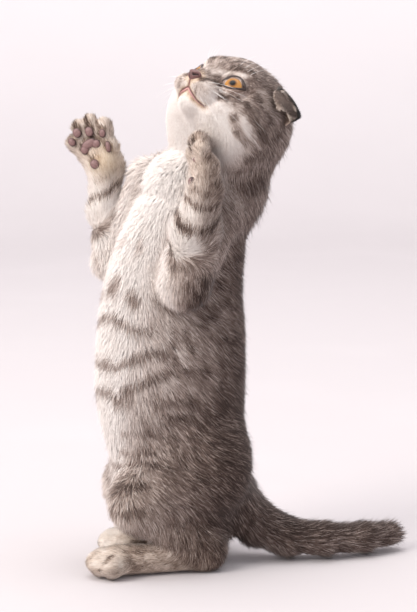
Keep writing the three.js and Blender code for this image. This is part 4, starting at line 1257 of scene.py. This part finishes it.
# turns a closed mesh's faces outwards
def fixNormals(piece):
    mesh = bmesh.new()
    mesh.from_mesh(piece.data)
    bmesh.ops.recalc_face_normals(mesh, faces=mesh.faces[:])
    mesh.to_mesh(piece.data)
    mesh.free()


# Ears: each a cup that stands out from the skull, then folds over towards the cheek.
ear = {
    "thick": 1.1, "sunk": 4.5, "rise": 4.6, "foldRadius": 2.6, "foldTurn": 108, "flap": 10.8, "halfWide": 8.8, "cup": 5,
    "root": (-8.6, 22.6, 11.7), "rows": 48, "columns": 40, "outerTufts": 9000, "innerTufts": 420,
}


# the ear's root, and its ways up the cup's back, forward over the fold and out of its face
def earFrame(side):
    lateral = unit(vec(-0.85, side * 0.45, -0.25) @ headAxes)
    forward = unit(vec(0.51, side * 0.71, -0.465) @ headAxes)
    ahead, across, up = ear["root"]
    return onHead(ahead, side * across, up), lateral, forward, unit(-side * np.cross(lateral, forward))


def earMiddle(u, v, side):
    # middle sheet: up the cup's back, round the fold and out to the tip, hooked forward at both sides
    root, lateral, forward, outward = earFrame(side)
    rise = ear["sunk"] + ear["rise"]
    bend = ear["foldRadius"] * math.radians(ear["foldTurn"])
    s = v * (rise + bend + ear["flap"] * (1 - 0.5 * ramp(-0.1, 0.9, u)))
    lean = np.clip(s - rise, 0, bend) / ear["foldRadius"]
    rest = np.maximum(0, s - rise - bend)
    ahead = ear["foldRadius"] * (1 - np.cos(lean)) + rest * np.sin(lean)
    out = np.minimum(s, rise) - ear["sunk"] + ear["foldRadius"] * np.sin(lean) + rest * np.cos(lean)
    closing = np.maximum(0, (v - 0.5) / 0.52)
    wide = ear["halfWide"] * np.sqrt(np.maximum(0, 1 - closing**2.4))
    hook = ear["cup"] * (1 - 0.6 * v) * (1 - np.cos(u * 1.35))
    return (
        root + lateral * (wide * np.sin(u * 1.35) / math.sin(1.35))[..., None]
        + forward * (ahead + hook * np.cos(lean))[..., None] + outward * (out - hook * np.sin(lean))[..., None]
    )


def earSlopes(u, v, side):
    # the ear's two directions and the normal of its outer face
    e = 0.01
    du = earMiddle(np.minimum(u + e, 1), v, side) - earMiddle(np.maximum(u - e, -1), v, side)
    dv = earMiddle(u, np.minimum(v + e, 1), side) - earMiddle(u, np.maximum(v - e, 0), side)
    return unit(du), unit(dv), unit(np.cross(du, dv)) * -side


def earHalf(u, v):
    # half the thickness, thinning to the rim
    rim = np.clip(np.minimum((1 - np.abs(u)) / 0.25, (1 - v) / 0.12), 0.06, 1)
    return (ear["thick"] / 2 * np.sqrt(rim))[..., None]


def makeEar(side, name):
    u, v = np.meshgrid(np.linspace(-1, 1, ear["columns"]), np.linspace(0.1, 1, ear["rows"]), indexing="xy")
    normal = earSlopes(u, v, side)[2]
    middle, half = earMiddle(u, v, side), earHalf(u, v)
    size, (rows, columns) = u.size, u.shape
    front = gridFaces(rows, columns)
    index = np.arange(size).reshape(rows, columns)
    rim = np.concatenate([index[0, :-1], index[:-1, -1], index[-1, :0:-1], index[:0:-1, 0]])
    after = np.roll(rim, -1)
    walls = np.stack([rim, rim + size, after + size, after], axis=1)
    points = np.concatenate([(middle + normal * half).reshape(-1, 3), (middle - normal * half).reshape(-1, 3)])
    faces = np.concatenate([front, front[:, ::-1] + size, walls])
    # painted shade: the inner face is darkest deep in the cup and paler towards the tip and the sides
    inner = 0.84 - 0.45 * ramp(0.55, 0.95, v) - 0.4 * ramp(0.75, 1, np.abs(u))
    tone = np.concatenate([np.full(size, 0.72), inner.ravel()])
    values = {"tone": tone, "warm": np.full(2 * size, 0.35)}
    piece = makePiece(f"ear_{name}_skin", points, faces, furSkin, "dark_coat", values)
    fixNormals(piece)
    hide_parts(f"ear_{name}")

    # short dark hair over the outer face, paler along the rim
    count = ear["outerTufts"]
    u, v = rng.uniform(-1, 1, count), rng.uniform(0.22, 1, count) ** 0.9
    across, along, normal = earSlopes(u, v, side)
    root = earMiddle(u, v, side) + normal * earHalf(u, v) * 0.6
    edge = np.maximum(ramp(0.9, 1.0, v), ramp(0.9, 1.0, np.abs(u)) * ramp(0.4, 0.6, v))
    lie = unit(along + across * (0.5 * u * np.abs(u))[:, None])
    tone = np.clip(0.72 - 0.42 * edge + 0.12 * noise(root, 3, 8) - 0.15 * ramp(0.45, 0.25, v), 0, 1)
    long, lift, wide = np.full(count, 2.4), np.full(count, 0.6), np.full(count, 0.36)
    makeTufts(
        f"coat_ear_{name}", root, normal, lie, long, lift, wide, tone, 0.25 + 0.1 * edge, (u / 2 + 0.5, v),
    )
    # long pale hair that fills the mouth of the cup from its front edge
    count = ear["innerTufts"]
    u = np.where(rng.random(count) < 0.5, rng.uniform(0.45, 0.98, count), rng.uniform(-0.98, -0.6, count))
    v = rng.uniform(0.26, 0.5, count)
    across, along, normal = earSlopes(u, v, side)
    forward = earFrame(side)[2]
    lie = unit(forward * 0.8 + along * 0.2 - across * (0.6 * np.sign(u))[:, None])
    root = earMiddle(u, v, side) - normal * earHalf(u, v)
    long, lift, wide = np.full(count, 6.5), np.full(count, 1.5), np.full(count, 0.5)
    tone, warm = 0.1 + 0.2 * rng.random(count), np.full(count, 0.4)
    makeTufts(f"ear_{name}_hair", root, -normal, lie, long, lift, wide, tone, warm, (u / 2 + 0.5, v), "pale_coat")


sides = {"left": 1, "right": -1}
for name, side in sides.items():
    makeEar(side, name)
print("ears made")


# Wet eye of a kitten, taken as clear horn over the iris: amber streaked outwards, dark pupil and rim, under a
# thin coat of water that gives one sharp glint.
def eyeMaterial():
    made, tree, main = newMaterial("Wet amber eye", {
        "Roughness": 0.45, "IOR": 1.376, "Specular IOR Level": 0.25, "Coat Weight": 0.3, "Coat Roughness": 0.02,
    })
    away, turn = [
        addNode(tree, "ShaderNodeAttribute", {"attribute_name": key}).outputs["Fac"] for key in ("away", "turn")
    ]
    line = addNode(tree, "ShaderNodeCombineXYZ", links={"X": turn, "Y": away}).outputs[0]
    streak = addNode(tree, "ShaderNodeTexNoise", {"Scale": 9.0, "Detail": 3.0}, {"Vector": line}).outputs["Fac"]
    uneven = {"operation": "MULTIPLY_ADD", 1: 0.12}
    shifted = addNode(tree, "ShaderNodeMath", uneven, {0: streak, 2: away}).outputs[0]
    iris = (
        (0.0, "#060404"), (0.2, "#060404"), (0.23, "#5d3a1a"), (0.34, "#a8753a"), (0.66, "#b98748"),
        (0.86, "#94622f"), (0.95, "#4a2c16"), (1.0, "#1a0f0a"),
    )
    colour = addNode(tree, "ShaderNodeValToRGB", {"stops": iris}, {"Fac": shifted})
    tree.links.new(colour.outputs["Color"], main.inputs["Base Color"])
    return made


# grid of a ball of radius 1: angle from its pole, angle round, and the places with the pole last
def roundGrid(rings, around):
    theta, phi = np.meshgrid(
        np.linspace(0.001, np.pi - 0.001, rings), np.arange(around) * 2 * np.pi / around, indexing="ij"
    )
    return theta, phi, np.stack([np.sin(theta) * np.cos(phi), np.sin(theta) * np.sin(phi), np.cos(theta)], axis=-1)


# Ball of radius r, swollen in front: r (1 + 0.05 (1 - (angle / 42)^2)).
def makeEye(side, name, finish):
    middle, axes = eyeFrame(side)
    theta, phi, place = roundGrid(44, 60)
    degrees = np.degrees(theta)
    radius = (eye["radius"] - 0.3) * (1 + 0.05 * np.clip(1 - (degrees / 42) ** 2, 0, 1))
    points = (place * radius[..., None]).reshape(-1, 3) @ axes + middle
    values = {"away": np.clip(degrees / 74, 0, 1).ravel(), "turn": np.sin(phi * 6).ravel()}
    piece = makePiece(f"eyeball_{name}", points, gridFaces(*theta.shape, True), finish, "eye", values)
    fixNormals(piece)
    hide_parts(f"eye_{name}")


amberEye = eyeMaterial()
for name, side in sides.items():
    makeEye(side, name, amberEye)


# Bare skin, kept moist by the animal: a soft gloss over fine pits, which breaks the light into small specks.
# Lids are near black, lips pink, nose and pads mauve brown. Grain is the distance between pits in mm.
def bareSkin(name, colours, grain, roughness):
    made, tree, main = newMaterial(name, {"Roughness": roughness, "Specular IOR Level": 0.5})
    place = addNode(tree, "ShaderNodeTexCoord").outputs["Object"]
    pit = addNode(tree, "ShaderNodeTexVoronoi", {"Scale": 1 / (grain * mm)}, {"Vector": place}).outputs["Distance"]
    stops = ((0.1, colours[0]), (0.9, colours[1]))
    plain = addNode(tree, "ShaderNodeValToRGB", {"stops": stops}, {"Fac": pit}).outputs["Color"]
    # the shade attribute mixes the skin towards near black: painted shade in the nostrils and nose groove, at the base
    # of the pads and in the corners of the mouth; along the upper lip a little of it is the lip's own dark colour
    shade = addNode(tree, "ShaderNodeAttribute", {"attribute_name": "shade"}).outputs["Fac"]
    shaded = addNode(tree, "ShaderNodeMix", {"data_type": "RGBA", 7: linear("#1d1110")}, {"Factor": shade, 6: plain})
    tree.links.new(shaded.outputs[2], main.inputs["Base Color"])
    bump = addNode(tree, "ShaderNodeBump", {"Strength": 0.4, "Distance": 0.1 * mm}, {"Height": pit})
    tree.links.new(bump.outputs["Normal"], main.inputs["Normal"])
    return made


lidSkin = bareSkin("Dark lid skin", ("#241815", "#3a2823"), 0.5, 0.35)
lipSkin = bareSkin("Pink lip skin", ("#c79a95", "#b5827d"), 0.5, 0.45)
lipDark = bareSkin("Dark lip edge", ("#8a5f5a", "#6a4541"), 0.5, 0.45)
noseSkin = bareSkin("Pebbled nose leather", ("#7a5451", "#563a38"), 0.45, 0.42)
padSkin = bareSkin("Paw pad leather", ("#8b6c69", "#6a4e4c"), 0.6, 0.55)


lids = {"around": 90, "rim": 0.4, "thick": 0.56, "thicker": 0.24, "reach": 3.4, "rows": 9, "shell": (0.5, 0.15)}


# Lid rims: a dark bead round each opening, lying on the eyeball, thicker above. Behind it the lid: a closed
# shell over the eyeball, from the rim out under the coat.
def makeLids(side, name):
    middle, axes = eyeFrame(side)
    around, rows, reach = lids["around"], lids["rows"], lids["reach"]
    t = np.linspace(0, 2 * np.pi, around)
    a = -np.cos(t)
    upper, lower = lidLine(a)
    edge = np.stack([a * eye["wide"] / 2, np.where(t < np.pi, upper, lower)], axis=1)
    ahead = np.sqrt(np.maximum((eye["radius"] + lids["rim"]) ** 2 - dot(edge, edge), 1))
    line = np.column_stack([edge, ahead]) @ axes + middle
    points, faces = tubeAlong(line, lids["thick"] + lids["thicker"] * (t < np.pi) * np.sin(t), 8)
    fixNormals(makePiece(f"lid_rim_{name}", points, faces, lidSkin, "nose_leather"))
    share = np.linspace(0, 1, rows)
    out = np.concatenate([share, share[::-1]]) * reach
    above = np.repeat(lids["shell"], rows)
    outwards = edge / np.maximum(np.linalg.norm(edge, axis=1), 1)[:, None]
    place = edge[:, None] + outwards[:, None] * out[None, :, None]
    far = np.sum(place**2, axis=2)
    ahead = np.sqrt(np.maximum((eye["radius"] + above[None]) ** 2 - far, 0.2)) - 0.25 * (out[None] / reach) ** 2
    points = np.concatenate([place, ahead[..., None]], axis=2).reshape(-1, 3) @ axes + middle
    tone, warm = markingsAndShade(points, partShares(partDepths(points)[1]))
    values = {"tone": np.clip(tone + 0.12, 0, 1), "warm": warm}
    fixNormals(makePiece(f"lid_{name}", points, gridFaces(around, 2 * rows, True), furSkin, "coat", values))


for name, side in sides.items():
    makeLids(side, name)
print("eyes and lids made")


def onSkin(points, inset=0.0):
    # places set on the skin, or so deep in it, along its own slope
    p = np.array(points, float)
    for _ in range(8):
        slope = slopeOf(lambda q: skinDepth(q, False), p)
        p = p - slope * ((skinDepth(p, False) + inset) / np.maximum(dot(slope, slope), 0.2))[:, None]
    return p


nose = {
    "half": (3.4, 4.1, 3.0), "place": (31.8, 0, -5), "deep": 1.5, "groove": 0.45,
    "nostril": (((3.3, 1.7, -0.5), 0.7), ((2.8, 2.6, -0.1), 0.62), ((2.1, 3.4, 0.5), 0.5)),
}


# Nose leather: a rounded wedge, broad above and narrow at the cleft, with a comma of a nostril each side. It is
# an egg whose width grows with height, pressed in by deep exp(-away^2) at the three places of each nostril.
def makeNose():
    globe = roundGrid(52, 72)[2]
    ahead, across, up = nose["half"]
    ahead, across, up = globe[..., 2] * ahead, globe[..., 0] * across, globe[..., 1] * up
    place = np.stack([ahead, across * (1 + 0.1 * up), up], axis=-1).reshape(-1, 3)
    shade = 0
    for s in (1, -1):
        for (ahead, across, up), wide in nose["nostril"]:
            away = (place - vec(ahead, s * across, up)) / vec(1.6, wide, wide * 0.85)
            pressed = np.exp(-dot(away, away))
            place[:, 0] -= nose["deep"] * pressed
            # painted shade: dark where each nostril is pressed in
            shade = np.maximum(shade, pressed)
    groove = np.exp(-((place[:, 1] / 0.35) ** 2)) * ramp(1.0, -1.5, place[:, 2])
    place[:, 0] -= nose["groove"] * groove
    points = place @ headAxes + onHead(*nose["place"])
    # painted shade: dark in the nostrils and down the middle groove
    values = {"shade": np.clip(shade * 1.3 + 0.6 * groove, 0, 1)}
    piece = makePiece("nose_leather", points, gridFaces(*globe.shape[:2], True), noseSkin, "nose_leather", values)
    fixNormals(piece)
    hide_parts("nose")


lips = {
    "count": 90, "inset": vec(0.4, 0, 0), "cleft": (vec(33.2, 0, -7.6), vec(32.2, 0, -12.6)), "cleftRadius": 0.45,
    "upper": {"lift": 0.35, "radius": 0.5}, "lower": {"lift": -0.6, "radius": 0.6},
}


# Lips: soft beads either side of the line of the mouth, thin at its corners, and the cleft below the nose.
def makeLips():
    half, count = np.array([v - lips["inset"] for v in mouthLine]), lips["count"]
    line = np.concatenate([half[:0:-1] * vec(1, -1, 1), half])
    t = np.linspace(0, len(line) - 1, count)
    smooth = np.stack([np.interp(t, np.arange(len(line)), line[:, c]) for c in range(3)], axis=1)
    kernel = np.ones(9) / 9
    for c in range(3):
        smooth[4:-4, c] = np.convolve(smooth[:, c], kernel, "valid")
    ends = np.sin(np.linspace(0.12, np.pi - 0.12, count)) ** 0.5
    corner = np.abs(np.linspace(-1, 1, count)) ** 1.5
    # the upper lip's dark edge is its own colour; towards the corners both lips darken with painted shade where they
    # fold into the mouth
    for name, finish, shade in (("upper", lipDark, 0.15 + 0.75 * corner), ("lower", lipSkin, 0.6 * corner)):
        lip = lips[name]
        points = onSkin(smooth @ headAxes + head["middle"] + headAxes[2] * lip["lift"], -0.05)
        points, faces = tubeAlong(points, lip["radius"] * ends)
        fixNormals(makePiece(f"lip_{name}", points, faces, finish, "nose_leather", {"shade": np.repeat(shade, 8)}))
    points = onSkin(np.linspace(*lips["cleft"], 12) @ headAxes + head["middle"], 0.1)
    points, faces = tubeAlong(points, np.full(12, lips["cleftRadius"]))
    fixNormals(makePiece("lip_cleft", points, faces, lipDark, "nose_leather"))


makeNose()
makeLips()


# Paw pads: rounded cushions of bare leather, standing as proud as the hair around them. Each is a ball whose
# coordinates are raised to 0.9, drawn to its half sizes and turned in the palm.
def makePads(arm, name):
    globe = roundGrid(18, 28)[2]
    faces = gridFaces(*globe.shape[:2], True)
    globe = globe[..., [0, 2, 1]].reshape(-1, 3)
    cushion = np.sign(globe) * np.abs(globe) ** 0.9
    parts = []
    for place, halves, turn in allPads:
        local = (cushion * halves) @ padAxes(turn) + vec(*place) - vec(0, padSink[name], 0)
        parts.append((local @ pawAxes(arm) + arm["wrist"], faces))
    # painted shade: each pad darkens towards its base, where it meets the hair
    values = {"shade": np.tile(ramp(0.75, 0.35, globe[:, 1]) * 0.75, len(allPads))}
    fixNormals(makePiece(f"paw_pads_{name}", *joined(parts), padSkin, "nose_leather", values))


for name, arm in arms.items():
    makePads(arm, name)


# Claws, mostly sheathed in hair: small cones, drooping by drop x t^2 at a share t of their length.
claws = {"long": 5.0, "radius": 0.55, "sides": 6, "drop": 1.6, "layers": 0.7}


# claw horn, grown in layers about 1.4 mm apart: smooth and a little see-through, shown by a soft gloss
def hornMaterial():
    made, tree, main = newMaterial("Pale claw horn", {"Roughness": 0.35, "Specular IOR Level": 0.5})
    place = addNode(tree, "ShaderNodeTexCoord").outputs["Object"]
    layers = {"Scale": claws["layers"] / mm, "Detail": 2.0}
    layer = addNode(tree, "ShaderNodeTexNoise", layers, {"Vector": place}).outputs["Fac"]
    pale = addNode(tree, "ShaderNodeValToRGB", {"stops": ((0.2, "#cbbcae"), (0.8, "#e8ddd2"))}, {"Fac": layer})
    tree.links.new(pale.outputs["Color"], main.inputs["Base Color"])
    return made


def makeClaws():
    horn = hornMaterial()
    t = np.linspace(0, 1, 7)
    radii = claws["radius"] * (1 - t) ** 0.8 + 0.03

    def claw(start, ahead, down):
        line = start + ahead * (t * claws["long"])[:, None] + down * (claws["drop"] * t * t)[:, None]
        return tubeAlong(line, radii, claws["sides"])

    for side in ("left", "right"):
        arm, leg = arms[side], legs[side]
        axes = pawAxes(arm)
        parts = [
            claw(arm["wrist"] + vec(a, arm["curl"] + 0.6, reach + 1.2) @ axes, axes[2], axes[1])
            for a, reach in forepaw["toes"]
        ]
        parts.append(claw(arm["wrist"] + vec(-10.4, 4.4, 8) @ axes, unit(axes[2] - axes[0] * 0.4), axes[1]))
        fixNormals(makePiece(f"claws_fore_{side}", *joined(parts), horn, "eye"))
        out = unit((leg["tip"] - leg["heel"]) * vec(1, 1, 0))
        across = vec(-out[1], out[0], 0) * leg["lateral"]
        parts = [
            claw(leg["tip"] + across * a - out * (short + 4.2) + vec(0, 0, 1.0), out, vec(0, 0, -1))
            for a, short in hindToes["places"]
        ]
        points, faces = joined(parts)
        points[:, 2] = np.maximum(points[:, 2], ground)
        fixNormals(makePiece(f"claws_hind_{side}", points, faces, horn, "eye"))


makeClaws()


# Whiskers: tapering bristles in rows on the pads, drooping by t^2, and a few over each eye.
def makeWhiskers():
    # stiff pale hair, smooth and round: each shows as a thin bright line
    made, tree, main = newMaterial("Whisker bristle", {"Roughness": 0.3, "Specular IOR Level": 0.5})
    place = addNode(tree, "ShaderNodeTexCoord").outputs["Object"]
    flecks = {"Scale": whiskers["flecks"] / mm}
    layer = addNode(tree, "ShaderNodeTexNoise", flecks, {"Vector": place}).outputs["Fac"]
    pale = addNode(tree, "ShaderNodeValToRGB", {"stops": ((0.2, "#efe9e4"), (0.8, "#fffdfb"))}, {"Fac": layer})
    tree.links.new(pale.outputs["Color"], main.inputs["Base Color"])
    parts = []
    t = np.linspace(0, 1, 12)
    for s in (1, -1):
        for row in range(whiskers["rows"]):
            for i in range(whiskers["each"]):
                start = whiskerRoot(30.0, row, i) * vec(1, s, 1)
                way = unit(vec(-0.1 - 0.22 * i + 0.1 * rng.random(), s, 0.28 - 0.25 * row + 0.1 * rng.random()))
                long = rng.uniform(*whiskers["long"]) * (0.7 + 0.1 * i)
                line = start + way * (t * long)[:, None] + vec(-0.45, 0, -0.16) * (long * 0.5 * t * t)[:, None]
                parts.append(tubeAlong(line @ headAxes + head["middle"], whiskers["radius"] * (1 - t) + 0.02, 5))
        for i in range(whiskers["each"]):
            start = vec(20 - 1.2 * i, s * (9.5 + 2.4 * i), 10.5 + 0.4 * i)
            way = unit(vec(0.25, s * (0.3 + 0.2 * i), 1))
            long = whiskers["browLong"]
            line = start + way * (t * long)[:, None] + vec(-0.9, 0, 0) * (long / 2 * t * t)[:, None]
            parts.append(tubeAlong(line @ headAxes + head["middle"], whiskers["browRadius"] * (1 - t) + 0.015, 5))
    fixNormals(makePiece("whiskers", *joined(parts), made, "pale_coat"))


makeWhiskers()
print("nose, lips, pads, claws and whiskers made")
